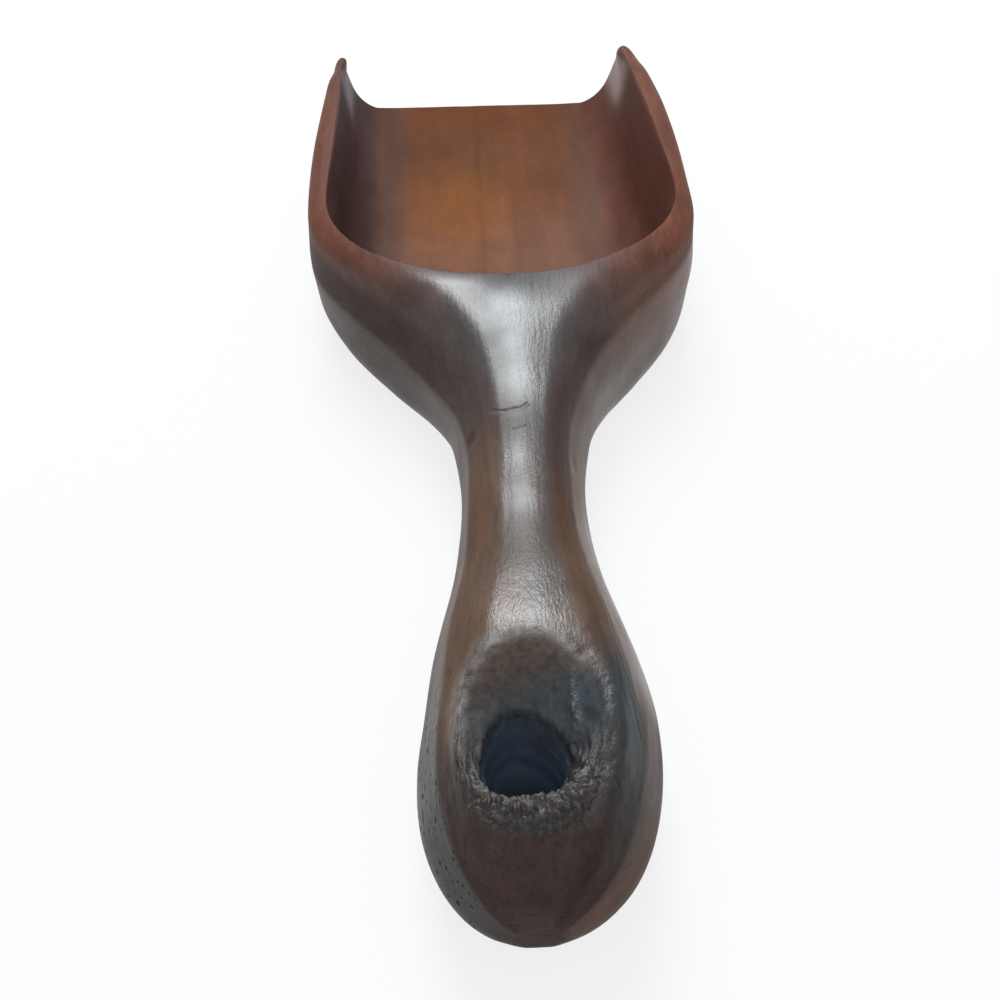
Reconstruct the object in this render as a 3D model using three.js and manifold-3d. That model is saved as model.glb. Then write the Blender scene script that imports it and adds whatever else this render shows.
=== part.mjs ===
// Wooden scoop carved from one billet: a flat-floored bowl with two horned side walls, faceted shoulders,
// a slim neck, and a knob with a hollow in its top whose lower lip carries a lumpy crust.
// Millimetres, +Z up. The handle's end looks along -Y and the lip of the bowl along +Y.
// The origin is on the ground plane under the middle of the whole scoop.
import * as THREE from 'three';
import { mergeVertices } from 'three/addons/utils/BufferGeometryUtils.js';
import Module from 'manifold-3d';

const wasm = await Module();
wasm.setup();

// Length from the handle's end to the lip. Every station below is a distance from the handle's end.
const LENGTH = 290;

// The four long edges that the carver's facets meet in, as [station, half width, height] from the knob
// forward. The knob's own end is closed by the END values below.
const TOP_ARRIS = [
  [35, 15, 43], [57, 11.5, 42.3], [82, 7.8, 38.3], [105, 7, 37.9], [127, 9.8, 38.8], [142, 14.8, 40.1],
  [154, 24, 41], [167, 38, 41.4], [179, 48.4, 41.6], [193, 51.6, 41.7], [222, 50.8, 41.4],
  [247, 49, 39.7], [260, 47.7, 38], [268, 46.2, 36.4], [276, 43.8, 34.8], [LENGTH, 39, 31.5],
];
const UPPER_CREASE = [
  [35, 20.5, 34], [57, 18.6, 32], [82, 13.6, 30], [105, 12.8, 29], [127, 16.8, 26], [142, 24.7, 23],
  [154, 32.3, 22], [169, 44, 22], [181, 51.2, 23], [197, 53.1, 26], [222, 52.5, 28],
  [247, 50.5, 27], [262, 49, 26], [276, 46.8, 24], [LENGTH, 45.5, 20],
];
const LOWER_CREASE = [
  [35, 26.8, 14], [57, 23.8, 17], [67, 21, 19], [77, 18.2, 20], [88, 16.3, 20], [100, 15.4, 19],
  [117, 17, 15.5], [130, 19.2, 10.5], [142, 25, 7], [154, 34.6, 5.5], [166, 43.6, 5.5],
  [181, 50, 6.5], [197, 51.4, 8], [222, 50.8, 10], [247, 49.4, 10], [LENGTH, 46, 9],
];
const FOOT_EDGE = [
  [35, 12, 0.2], [57, 10, 3.2], [82, 7, 8], [102, 6.5, 9.6], [122, 8, 6.3], [137, 12, 2.8],
  [149, 19, 0.9], [165, 30, 0], [182, 38, 0], [202, 39.5, 0], [LENGTH, 36, 0],
];
// How much of each edge is rounded away, from 0 for a knife-sharp edge to 1 for a full curve. Two edges
// are worn unevenly, as [station, share]: the upper crease is crisp on the knob, the arris soft on the neck.
const EDGE_ROUNDING = { foot: 0.8, lower: 0.8, spine: 0.9 };
const UPPER_ROUNDING = [[0, 0.14], [30, 0.14], [50, 0.42], [150, 0.42], [180, 0.34], [LENGTH, 0.42]];
const TOP_ROUNDING = [[0, 0.45], [50, 0.5], [80, 0.9], [150, 0.9], [180, 0.6], [LENGTH, 0.45]];

// Height of the back of the scoop along its middle, then along the rims: the sheer falls to the horns.
const SPINE = [
  [27, 44.2], [51, 44.6], [67, 42.3], [92, 39], [117, 39], [142, 41], [162, 41.8], [212, 41.6],
  [237, 40.6], [259, 38.1], [277, 34.6], [LENGTH, 31.5],
];
// Height of the underside along its middle: it stands on the knob and on the bowl's flat bottom.
const KEEL = [
  [35, 0], [57, 3], [82, 7.8], [102, 9.5], [122, 6.2], [137, 2.7], [149, 0.8], [165, 0], [LENGTH, 0],
];
// The billet isn't straight: its middle wanders sideways by this much.
const SWAY = [
  [0, -2.3], [9, -1.4], [22, -0.6], [37, 0.4], [47, 1], [62, 0.6], [85, 0.5], [102, 0.9], [115, 1.4],
  [132, 2], [157, 1.9], [172, 1.4], [187, 0.3], [202, -0.1], [232, 0], [259, -0.5], [277, -0.8], [LENGTH, -1],
];

// The knob's end is a rounded dome: widths close over END_WIDTH_RUN and heights over END_HEIGHT_RUN,
// both towards a point at END_EYE_HEIGHT.
const END_WIDTH_RUN = 36;
const END_HEIGHT_RUN = 30;
const END_POWER = 2.2;
const END_EYE_HEIGHT = 17;

// The space inside the bowl: a flat floor, filleted into walls that lean out, and a round sloping back.
const FLOOR_HEIGHT = 5;
const FLOOR_FILLET_WIDTH = 7.5;
const FLOOR_FILLET_HEIGHT = 13;
const RIM_HEIGHT = 41.6;
const WALL_LEAN = 0.12;
const BACK_CENTRE = 194;
const BACK_DEPTH = 33.7;
const BACK_SLOPE = 0.55;
const BACK_FILLET_STRETCH = 1.3;
const MOUTH_WIDTH = [[BACK_CENTRE, 47.2], [215, 45.8], [240, 44.6], [275, 44.1], [LENGTH, 43.6]];
const MOUTH_SWAY = [[BACK_CENTRE, 0.3], [240, -0.6], [275, -2.3], [LENGTH, -2.6]];
const PAST_LIP = 300;
const OVER_RIM = 6;

// The front of the bowl is cut on a slope, from the lip up to the horns, whose tips are rounded over.
const LIP_FACE_HEIGHT = 4;
const FRONT_SLOPE = 0.6;
const HORN_CURVE_HEIGHT = 25;
const HORN_TIP = [273, 36.6];
const HORN_BACK = [259, 40.6];
const WEDGE_REACH = 60;
const WEDGE_RISE = 20;

// The hollow in the knob: a broad shallow dish that falls into a deep blind hole. Round its middle
// [x, station] the dish's rim is a half ellipse behind and a shorter, squarer one ahead.
const RIM_MIDDLE = [-2, 33];
const RIM_HALF_WIDTH = 14.4;
const RIM_AHEAD = 20;
const RIM_BEHIND = 18.2;
const RIM_POWER_AHEAD = 2.3;
const RIM_POWER_BEHIND = 2;
// The dish leaves its rim level and falls ever faster towards the hole.
const DISH_FALL = 1.7;
const RIM_SINK = 0.1;
const RIM_FLARE = 0.06;
const RIM_FLARE_RISE = 0.4;
const DISH_HEADROOM = 54;
// The hole's rows are [height, half width, half length, middle x, middle station]. It isn't quite round: it
// has this many shallow lobes, turned by this angle.
const HOLE = [
  [38.8, 8.6, 11, -3.7, 28], [33, 8, 9.8, -3.7, 27.6], [24, 7.4, 8.8, -3.6, 27],
  [17, 5.8, 6.8, -3.4, 27], [14, 2.4, 2.8, -3.4, 27],
];
const HOLLOW_LOBES = 3;
const LOBE_DEPTH = 0.05;
const LOBE_TURN = 0.6;

// The crust lies along the hollow's lower lip, bedded in the wood with a hair of room around it.
const CRUST_ACROSS = 14;
const CRUST_BEHIND = 19.4;
const CRUST_FROM = 186;
const CRUST_TO = 370;
const CRUST_HALF_WIDTH = 3.2;
const CRUST_HALF_HEIGHT = 1.3;
const CRUST_TIP_RADIUS = 0.7;
const CRUST_SINK = 0.4;
const CRUST_SWELL = 0.8;
const CRUST_NUDGE = 0.01;
const CRUST_LUMP = 0.16;
const COARSE_LUMPS = 23;
const FINE_LUMPS = 57;
const FINE_SHARE = 0.6;
const SEAT_GAP = 0.3;

// How finely each form is divided.
const END_RINGS = 14;
const BODY_RINGS = 74;
const CORNER_STEPS = 4;
const BOWL_SIDE_STEPS = 9;
const BOWL_BACK_STEPS = 28;
const FILLET_LEVELS = 7;
const HORN_STEPS = 8;
const HOLLOW_SIDES = 40;
const DISH_RINGS = 8;
const CRUST_STEPS = 46;
const CRUST_SIDES = 12;

// A smooth curve through [station, value, ...] rows: cubic pieces whose slope is the neighbours' mean,
// level where the values turn back.
function through(rows, station, column = 1) {
  const last = rows.length - 1;
  const y = Math.min(Math.max(station, rows[0][0]), rows[last][0]);
  const slope = (k) => (rows[k + 1][column] - rows[k][column]) / (rows[k + 1][0] - rows[k][0]);
  const tangent = (k) => {
    if (k === 0) return 0;
    if (k === last) return slope(k - 1);
    const before = slope(k - 1);
    const after = slope(k);
    if (before * after <= 0) return 0;
    const left = rows[k][0] - rows[k - 1][0];
    const right = rows[k + 1][0] - rows[k][0];
    return (before * right + after * left) / (left + right);
  };
  let k = 0;
  while (k < last - 1 && y > rows[k + 1][0]) k += 1;
  const span = rows[k + 1][0] - rows[k][0];
  const t = (y - rows[k][0]) / span;
  const [square, cube] = [t ** 2, t ** 3];
  const start = (2 * cube - 3 * square + 1) * rows[k][column] + (cube - 2 * square + t) * span * tangent(k);
  const finish = (3 * square - 2 * cube) * rows[k + 1][column] + (cube - square) * span * tangent(k + 1);
  return start + finish;
}

// How far the rounded end has opened at a station: 0 at the very end, 1 past the run.
function opening(station, run) {
  if (station >= run) return 1;
  return (1 - (1 - station / run) ** END_POWER) ** (1 / END_POWER);
}

// One cross-section of the solid billet: a closed ring of points, flat-bottomed and eight-sided, with
// its corners eased, from the keel up the right side, over the spine and down the left.
function billetRing(station) {
  const widen = opening(station, END_WIDTH_RUN);
  const raise = opening(station, END_HEIGHT_RUN);
  const height = (z) => END_EYE_HEIGHT + (z - END_EYE_HEIGHT) * raise;
  const edge = (rows) => [through(rows, station, 1) * widen, height(through(rows, station, 2))];
  const corners = [
    [0, height(through(KEEL, station))],
    edge(FOOT_EDGE),
    edge(LOWER_CREASE),
    edge(UPPER_CREASE),
    edge(TOP_ARRIS),
    [0, height(through(SPINE, station))],
  ];
  const [upper, top] = [UPPER_ROUNDING, TOP_ROUNDING].map((rows) => through(rows, station));
  const rounding = [0, EDGE_ROUNDING.foot, EDGE_ROUNDING.lower, upper, top];
  const side = [];
  for (let k = 1; k <= 4; k += 1) {
    const corner = new THREE.Vector2(...corners[k]);
    const from = corner.clone().lerp(new THREE.Vector2(...corners[k - 1]), rounding[k] / 2);
    const to = corner.clone().lerp(new THREE.Vector2(...corners[k + 1]), rounding[k] / 2);
    side.push(...new THREE.QuadraticBezierCurve(from, corner, to).getPoints(CORNER_STEPS));
  }
  const spine = new THREE.Vector2(...corners[5]);
  const shoulder = spine.clone().lerp(new THREE.Vector2(...corners[4]), EDGE_ROUNDING.spine / 2);
  const mirrored = new THREE.Vector2(-shoulder.x, shoulder.y);
  const over = new THREE.QuadraticBezierCurve(shoulder, spine, mirrored).getPoints(CORNER_STEPS);
  const outline = [[0, corners[0][1]], ...side.map((p) => [p.x, p.y]), ...over.map((p) => [p.x, p.y])];
  outline.push(...side.reverse().map((p) => [-p.x, p.y]));
  const sway = through(SWAY, station);
  return outline.map(([x, z]) => new THREE.Vector3(sway + x, station, z));
}

// A closed skin over a row of rings with equal counts, with a fan over each end.
function skin(rings) {
  const count = rings[0].length;
  const points = rings.flat();
  const middles = [rings[0], rings[rings.length - 1]].map((ring) => {
    const sum = ring.reduce((total, p) => total.add(p), new THREE.Vector3());
    return sum.divideScalar(count);
  });
  const faces = [];
  for (let r = 0; r + 1 < rings.length; r += 1) {
    for (let c = 0; c < count; c += 1) {
      const next = (c + 1) % count;
      const [a, b] = [r * count + c, r * count + next];
      faces.push(a, b + count, b, a, a + count, b + count);
    }
  }
  const top = (rings.length - 1) * count;
  for (let c = 0; c < count; c += 1) {
    const next = (c + 1) % count;
    faces.push(points.length, c, next);
    faces.push(points.length + 1, top + next, top + c);
  }
  const geometry = new THREE.BufferGeometry();
  const all = [...points, ...middles];
  geometry.setAttribute('position', new THREE.Float32BufferAttribute(all.flatMap((p) => p.toArray()), 3));
  geometry.setIndex(faces);
  return geometry;
}

// The same closed skin as a solid for cutting, turned right side out if its rings ran the other way.
function solid(geometry) {
  const bare = geometry.clone();
  bare.deleteAttribute('normal');
  bare.deleteAttribute('uv');
  const merged = mergeVertices(bare, 1e-4);
  const vertProperties = new Float32Array(merged.attributes.position.array);
  const triVerts = new Uint32Array(merged.index.array);
  if (signedVolume(vertProperties, triVerts) < 0) triVerts.reverse();
  return new wasm.Manifold(new wasm.Mesh({ numProp: 3, vertProperties, triVerts }));
}

function signedVolume(positions, faces) {
  const corner = (k) => new THREE.Vector3().fromArray(positions, 3 * faces[k]);
  let volume = 0;
  for (let k = 0; k < faces.length; k += 3) {
    volume += corner(k).dot(corner(k + 1).cross(corner(k + 2))) / 6;
  }
  return volume;
}

function geometryOf(body) {
  const mesh = body.getMesh();
  const geometry = new THREE.BufferGeometry();
  geometry.setAttribute('position', new THREE.Float32BufferAttribute(mesh.vertProperties, mesh.numProp));
  geometry.setIndex(Array.from(mesh.triVerts));
  return geometry;
}

// Outside of the billet, with its stations crowded together on the round end of the knob.
function billet() {
  const rings = [];
  for (let k = 1; k <= END_RINGS; k += 1) {
    rings.push(billetRing(END_WIDTH_RUN * (1 - Math.cos((k / END_RINGS) * Math.PI / 2))));
  }
  for (let k = 1; k <= BODY_RINGS; k += 1) {
    rings.push(billetRing(END_WIDTH_RUN + (LENGTH - END_WIDTH_RUN) * (k / BODY_RINGS)));
  }
  return solid(skin(rings));
}

// One level outline of the space inside the bowl, from the mouth round the back to the mouth again.
function bowlOutline(height) {
  const fillet = Math.max(0, (FLOOR_HEIGHT + FLOOR_FILLET_HEIGHT - height) / FLOOR_FILLET_HEIGHT);
  const roundIn = FLOOR_FILLET_WIDTH * (1 - Math.sqrt(1 - Math.min(1, fillet) ** 2));
  const inset = WALL_LEAN * (RIM_HEIGHT - height) + roundIn;
  const backInset = BACK_SLOPE * (RIM_HEIGHT - height) + BACK_FILLET_STRETCH * roundIn;
  const halfWidth = (station) => through(MOUTH_WIDTH, station) - inset;
  const outline = [];
  const wall = (station, side) => {
    const x = through(MOUTH_SWAY, station) + side * halfWidth(station);
    outline.push(new THREE.Vector3(x, station, height));
  };
  for (let k = 0; k < BOWL_SIDE_STEPS; k += 1) {
    wall(THREE.MathUtils.lerp(PAST_LIP, BACK_CENTRE, k / BOWL_SIDE_STEPS), 1);
  }
  for (let k = 0; k <= BOWL_BACK_STEPS; k += 1) {
    const turn = (k / BOWL_BACK_STEPS) * Math.PI;
    const x = through(MOUTH_SWAY, BACK_CENTRE) + halfWidth(BACK_CENTRE) * Math.cos(turn);
    outline.push(new THREE.Vector3(x, BACK_CENTRE - (BACK_DEPTH - backInset) * Math.sin(turn), height));
  }
  for (let k = BOWL_SIDE_STEPS - 1; k >= 0; k -= 1) {
    wall(THREE.MathUtils.lerp(PAST_LIP, BACK_CENTRE, k / BOWL_SIDE_STEPS), -1);
  }
  return outline;
}

function bowlSpace() {
  const levels = [];
  for (let k = 0; k <= FILLET_LEVELS; k += 1) {
    const turn = (k / FILLET_LEVELS) * Math.PI / 2;
    levels.push(FLOOR_HEIGHT + FLOOR_FILLET_HEIGHT * (1 - Math.cos(turn)));
  }
  levels.push((levels[FILLET_LEVELS] + RIM_HEIGHT) / 2, RIM_HEIGHT, RIM_HEIGHT + OVER_RIM);
  return solid(skin(levels.map(bowlOutline)));
}

// The wedge that the sloping front is cut away with, curling back over the tips of the horns.
function frontWedge() {
  const profile = new THREE.Shape();
  profile.moveTo(LENGTH, LIP_FACE_HEIGHT);
  profile.lineTo(LENGTH + WEDGE_REACH, LIP_FACE_HEIGHT);
  profile.lineTo(LENGTH + WEDGE_REACH, LIP_FACE_HEIGHT + WEDGE_REACH);
  profile.lineTo(HORN_BACK[0] - WEDGE_REACH, HORN_BACK[1] + WEDGE_RISE);
  profile.lineTo(...HORN_BACK);
  const curveStart = LENGTH - FRONT_SLOPE * (HORN_CURVE_HEIGHT - LIP_FACE_HEIGHT);
  profile.quadraticCurveTo(...HORN_TIP, curveStart, HORN_CURVE_HEIGHT);
  const options = { depth: 2 * WEDGE_REACH, bevelEnabled: false, curveSegments: HORN_STEPS };
  const geometry = new THREE.ExtrudeGeometry(profile, options);
  geometry.applyMatrix4(new THREE.Matrix4().set(
    0, 0, 1, -WEDGE_REACH,
    1, 0, 0, 0,
    0, 1, 0, 0,
    0, 0, 0, 1,
  ));
  return solid(geometry);
}

// Height of the billet's upper surface above a place on its plan.
function surfaceHeight(x, station) {
  const ring = billetRing(station);
  const over = ring.slice(ring.length / 4, ring.length * 3 / 4).sort((p, q) => p.x - q.x);
  let k = 0;
  while (k < over.length - 2 && x > over[k + 1].x) k += 1;
  const t = (x - over[k].x) / (over[k + 1].x - over[k].x);
  return over[k].z + t * (over[k + 1].z - over[k].z);
}

// A point of the billet's surface on the dish's rim, or on a curve like it of another size.
function onRim(turn, halfWidth, behind) {
  const [across, ahead] = [Math.cos(turn), Math.sin(turn)];
  const power = ahead > 0 ? RIM_POWER_AHEAD : RIM_POWER_BEHIND;
  const reach = (Math.abs(across) ** power + Math.abs(ahead) ** power) ** (-1 / power);
  const x = RIM_MIDDLE[0] + halfWidth * reach * across;
  const station = RIM_MIDDLE[1] + (ahead > 0 ? RIM_AHEAD : behind) * reach * ahead;
  return new THREE.Vector3(x, station, surfaceHeight(x, station));
}

// The space of the hollow, from the air above it over the rim and the dish to the hole's blind end.
function knobHollow() {
  const around = Array.from({ length: HOLLOW_SIDES }, (_, k) => (k / HOLLOW_SIDES) * 2 * Math.PI);
  const rim = around.map((turn) => {
    const point = onRim(turn, RIM_HALF_WIDTH, RIM_BEHIND);
    point.z -= RIM_SINK;
    return point;
  });
  const holeRing = ([z, halfWidth, halfLength, x, station]) => around.map((turn) => {
    const lobe = 1 + LOBE_DEPTH * Math.cos(HOLLOW_LOBES * turn + LOBE_TURN);
    const [dx, dy] = [halfWidth * lobe * Math.cos(turn), halfLength * lobe * Math.sin(turn)];
    return new THREE.Vector3(x + dx, station + dy, z);
  });
  const edge = holeRing(HOLE[0]);
  const flared = (height) => rim.map((p, k) => {
    const point = p.clone().lerp(edge[k], -RIM_FLARE);
    point.z = height(p.z);
    return point;
  });
  const rings = [flared(() => DISH_HEADROOM), flared((z) => z + RIM_FLARE_RISE)];
  for (let k = 0; k < DISH_RINGS; k += 1) {
    const inward = k / DISH_RINGS;
    rings.push(rim.map((p, n) => {
      const point = p.clone().lerp(edge[n], inward);
      point.z = THREE.MathUtils.lerp(p.z, edge[n].z, inward ** DISH_FALL);
      return point;
    }));
  }
  rings.push(...HOLE.map(holeRing));
  return solid(skin(rings));
}

// The crust: a flattened bead along the lower lip, thin at both ends, swollen and lumpy between.
// More room makes the same bead fatter, for the bed that it lies in.
function crustBead(room) {
  const turnAt = (along) => THREE.MathUtils.degToRad(CRUST_FROM + (CRUST_TO - CRUST_FROM) * along);
  const middleAt = (along) => onRim(turnAt(along), CRUST_ACROSS, CRUST_BEHIND);
  const rings = [];
  for (let k = 0; k <= CRUST_STEPS; k += 1) {
    const along = k / CRUST_STEPS;
    const middle = middleAt(along);
    const forward = middleAt(along + CRUST_NUDGE).sub(middleAt(along - CRUST_NUDGE));
    const outward = new THREE.Vector3(forward.y, -forward.x, 0).normalize();
    const slope = surfaceHeight(middle.x + outward.x, middle.y + outward.y)
      - surfaceHeight(middle.x - outward.x, middle.y - outward.y);
    const across = new THREE.Vector3(outward.x, outward.y, slope / 2).normalize();
    const upward = new THREE.Vector3(-outward.x * slope / 2, -outward.y * slope / 2, 1).normalize();
    const centre = middle.addScaledVector(upward, -CRUST_SINK);
    const swell = Math.sin(Math.PI * along) ** CRUST_SWELL;
    const wave = Math.sin(COARSE_LUMPS * along) + FINE_SHARE * Math.sin(FINE_LUMPS * along + 1);
    const lumps = 1 + CRUST_LUMP * wave;
    const fatten = (full) => CRUST_TIP_RADIUS + (full - CRUST_TIP_RADIUS) * swell * lumps + room;
    const [halfWidth, halfHeight] = [fatten(CRUST_HALF_WIDTH), fatten(CRUST_HALF_HEIGHT)];
    const ring = [];
    for (let s = 0; s < CRUST_SIDES; s += 1) {
      const spin = (s / CRUST_SIDES) * 2 * Math.PI;
      const point = centre.clone().addScaledVector(across, halfWidth * Math.cos(spin));
      ring.push(point.addScaledVector(upward, halfHeight * Math.sin(spin)));
    }
    rings.push(ring);
  }
  const [first, second] = rings;
  const [last, nextToLast] = [rings[CRUST_STEPS], rings[CRUST_STEPS - 1]];
  const startward = first[0].clone().sub(second[0]).setLength(room);
  const endward = last[0].clone().sub(nextToLast[0]).setLength(room);
  first.forEach((p) => p.add(startward));
  last.forEach((p) => p.add(endward));
  return solid(skin(rings));
}

const crust = crustBead(0);
const carved = billet()
  .subtract(bowlSpace())
  .subtract(frontWedge())
  .subtract(knobHollow())
  .subtract(crustBead(SEAT_GAP));

const polishedWood = new THREE.MeshStandardMaterial({ color: 0x5a3b2c, roughness: 0.34, metalness: 0 });
const darkCrust = new THREE.MeshStandardMaterial({ color: 0x241c1a, roughness: 0.3, metalness: 0 });

const group = new THREE.Group();
const pieces = [['carved_scoop', carved, polishedWood], ['hollow_crust', crust, darkCrust]];
for (const [name, body, material] of pieces) {
  const mesh = new THREE.Mesh(geometryOf(body), material);
  mesh.name = name;
  group.add(mesh);
}
const bounds = new THREE.Box3().setFromObject(group);
const middle = bounds.getCenter(new THREE.Vector3());
group.children.forEach((mesh) => mesh.geometry.translate(-middle.x, -middle.y, -bounds.min.z));

export default group;
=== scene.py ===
import bmesh
import bpy
import numpy as np
from mathutils import Matrix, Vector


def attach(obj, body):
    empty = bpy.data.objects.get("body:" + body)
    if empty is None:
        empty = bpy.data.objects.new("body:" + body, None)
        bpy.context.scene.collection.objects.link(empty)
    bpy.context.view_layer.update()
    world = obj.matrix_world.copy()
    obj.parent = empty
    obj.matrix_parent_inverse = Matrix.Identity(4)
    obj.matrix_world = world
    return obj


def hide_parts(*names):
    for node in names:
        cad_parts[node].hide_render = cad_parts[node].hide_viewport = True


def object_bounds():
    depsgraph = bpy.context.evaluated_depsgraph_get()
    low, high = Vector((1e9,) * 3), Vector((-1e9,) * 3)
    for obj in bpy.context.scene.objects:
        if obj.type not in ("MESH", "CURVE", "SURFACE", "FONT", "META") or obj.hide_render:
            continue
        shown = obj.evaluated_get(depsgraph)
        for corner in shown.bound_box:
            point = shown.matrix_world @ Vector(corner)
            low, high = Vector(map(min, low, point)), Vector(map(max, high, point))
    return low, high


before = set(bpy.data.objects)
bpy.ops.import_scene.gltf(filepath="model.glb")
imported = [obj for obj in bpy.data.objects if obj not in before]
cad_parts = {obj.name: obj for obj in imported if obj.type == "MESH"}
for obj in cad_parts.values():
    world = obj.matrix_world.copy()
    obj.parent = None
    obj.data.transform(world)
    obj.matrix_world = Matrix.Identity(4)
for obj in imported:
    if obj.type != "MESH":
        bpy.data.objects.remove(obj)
cad_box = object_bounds()


# The scoop's body: one billet of dark hardwood, carved by adze and knife into a flat-floored bowl, a neck
# and a knob, then scraped and polished by long use. Stations are millimetres from the knob's end, and the
# tables give [station, half width, height] of the long edges that the carver's facets meet in.
LENGTH = 290.0
MID_STATION = LENGTH - 1000 * cad_box[1][1]
FOOT_EDGE = np.array([
    [35, 12, 0.2], [57, 10, 3.2], [82, 7, 8], [102, 6.5, 9.6], [122, 8, 6.3], [137, 12, 2.8],
    [149, 19, 0.9], [165, 30, 0], [182, 38, 0], [202, 39.5, 0], [LENGTH, 36, 0]])
LOWER_CREASE = np.array([
    [35, 26.8, 14], [57, 23.8, 17], [67, 21, 19], [77, 18.2, 20], [88, 16.3, 20], [100, 15.4, 19],
    [117, 17, 15.5], [130, 19.2, 10.5], [142, 25, 7], [154, 34.6, 5.5], [166, 43.6, 5.5],
    [181, 50, 6.5], [197, 51.4, 8], [222, 50.8, 10], [247, 49.4, 10], [LENGTH, 46, 9]])
UPPER_CREASE = np.array([
    [35, 20.5, 34], [57, 18.6, 32], [82, 13.6, 30], [105, 12.8, 29], [127, 16.8, 26], [142, 24.7, 23],
    [154, 32.3, 22], [169, 44, 22], [181, 51.2, 23], [197, 53.1, 26], [222, 52.5, 28],
    [247, 50.5, 27], [262, 49, 26], [276, 46.8, 24], [LENGTH, 45.5, 20]])
TOP_ARRIS = np.array([
    [35, 15, 43], [57, 11.8, 42.2], [82, 8.2, 38.1], [105, 7.6, 37.7], [127, 10.6, 38.5], [142, 15.4, 39.9],
    [154, 24, 40.9], [167, 38, 41.4], [179, 48.4, 41.6], [193, 51.6, 41.7], [222, 50.8, 41.4],
    [247, 49, 39.7], [260, 47.7, 38], [268, 46.2, 36.4], [276, 43.8, 34.8], [LENGTH, 39, 31.5]])
SPINE = np.array([
    [27, 44.2], [51, 44.6], [67, 42.3], [92, 39], [117, 39], [142, 41], [162, 41.8], [212, 41.6],
    [237, 40.6], [259, 38.1], [277, 34.6], [LENGTH, 31.5]])
KEEL = np.array([
    [35, 0], [57, 3], [82, 7.8], [102, 9.5], [122, 6.2], [137, 2.7], [149, 0.8], [165, 0], [LENGTH, 0]])
SWAY = np.array([
    [0, -2.3], [9, -1.4], [22, -0.6], [37, 0.4], [47, 1], [62, 0.6], [85, 0.5], [102, 0.9], [115, 1.4],
    [132, 2], [157, 1.9], [172, 1.4], [187, 0.3], [202, -0.1], [232, 0], [259, -0.5], [277, -0.8],
    [LENGTH, -1]])
# How far each corner of the section is rounded, from the keel to the spine, as [station, share] rows.
KEEL_ROUNDING = np.array([[0, 0.0], [LENGTH, 0.0]])
FOOT_ROUNDING = np.array([[0, 0.8], [LENGTH, 0.8]])
LOWER_ROUNDING = np.array([[0, 0.8], [LENGTH, 0.8]])
UPPER_ROUNDING = np.array([[0, 0.14], [30, 0.14], [50, 0.42], [150, 0.42], [180, 0.34], [LENGTH, 0.42]])
ARRIS_ROUNDING = np.array([[0, 0.45], [50, 0.5], [80, 0.9], [150, 0.9], [180, 0.6], [LENGTH, 0.45]])
SPINE_ROUNDING = np.array([[0, 0.9], [LENGTH, 0.9]])
# The knob's end closes as a dome over these runs, towards a point at this height.
END_WIDTH_RUN, END_HEIGHT_RUN, END_POWER, EYE_HEIGHT = 36.0, 30.0, 2.2, 17.0


def along(rows, station, column=1):
    """Cubic pieces through the rows: the slope at a row is the mean of its neighbours' slopes, each weighted
    by the other's span, and level where the values turn back."""
    at, value = rows[:, 0], rows[:, column]
    span = np.diff(at)
    rise = np.diff(value) / span
    slope = np.zeros(len(at))
    mean = (rise[:-1] * span[1:] + rise[1:] * span[:-1]) / (span[:-1] + span[1:])
    slope[1:-1] = np.where(rise[:-1] * rise[1:] > 0, mean, 0.0)
    slope[-1] = rise[-1]
    y = np.clip(station, at[0], at[-1])
    k = np.clip(np.searchsorted(at, y) - 1, 0, len(span) - 1)
    t = (y - at[k]) / span[k]
    start = (2 * t**3 - 3 * t**2 + 1) * value[k] + (t**3 - 2 * t**2 + t) * span[k] * slope[k]
    finish = (3 * t**2 - 2 * t**3) * value[k + 1] + (t**3 - t**2) * span[k] * slope[k + 1]
    return start + finish


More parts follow.
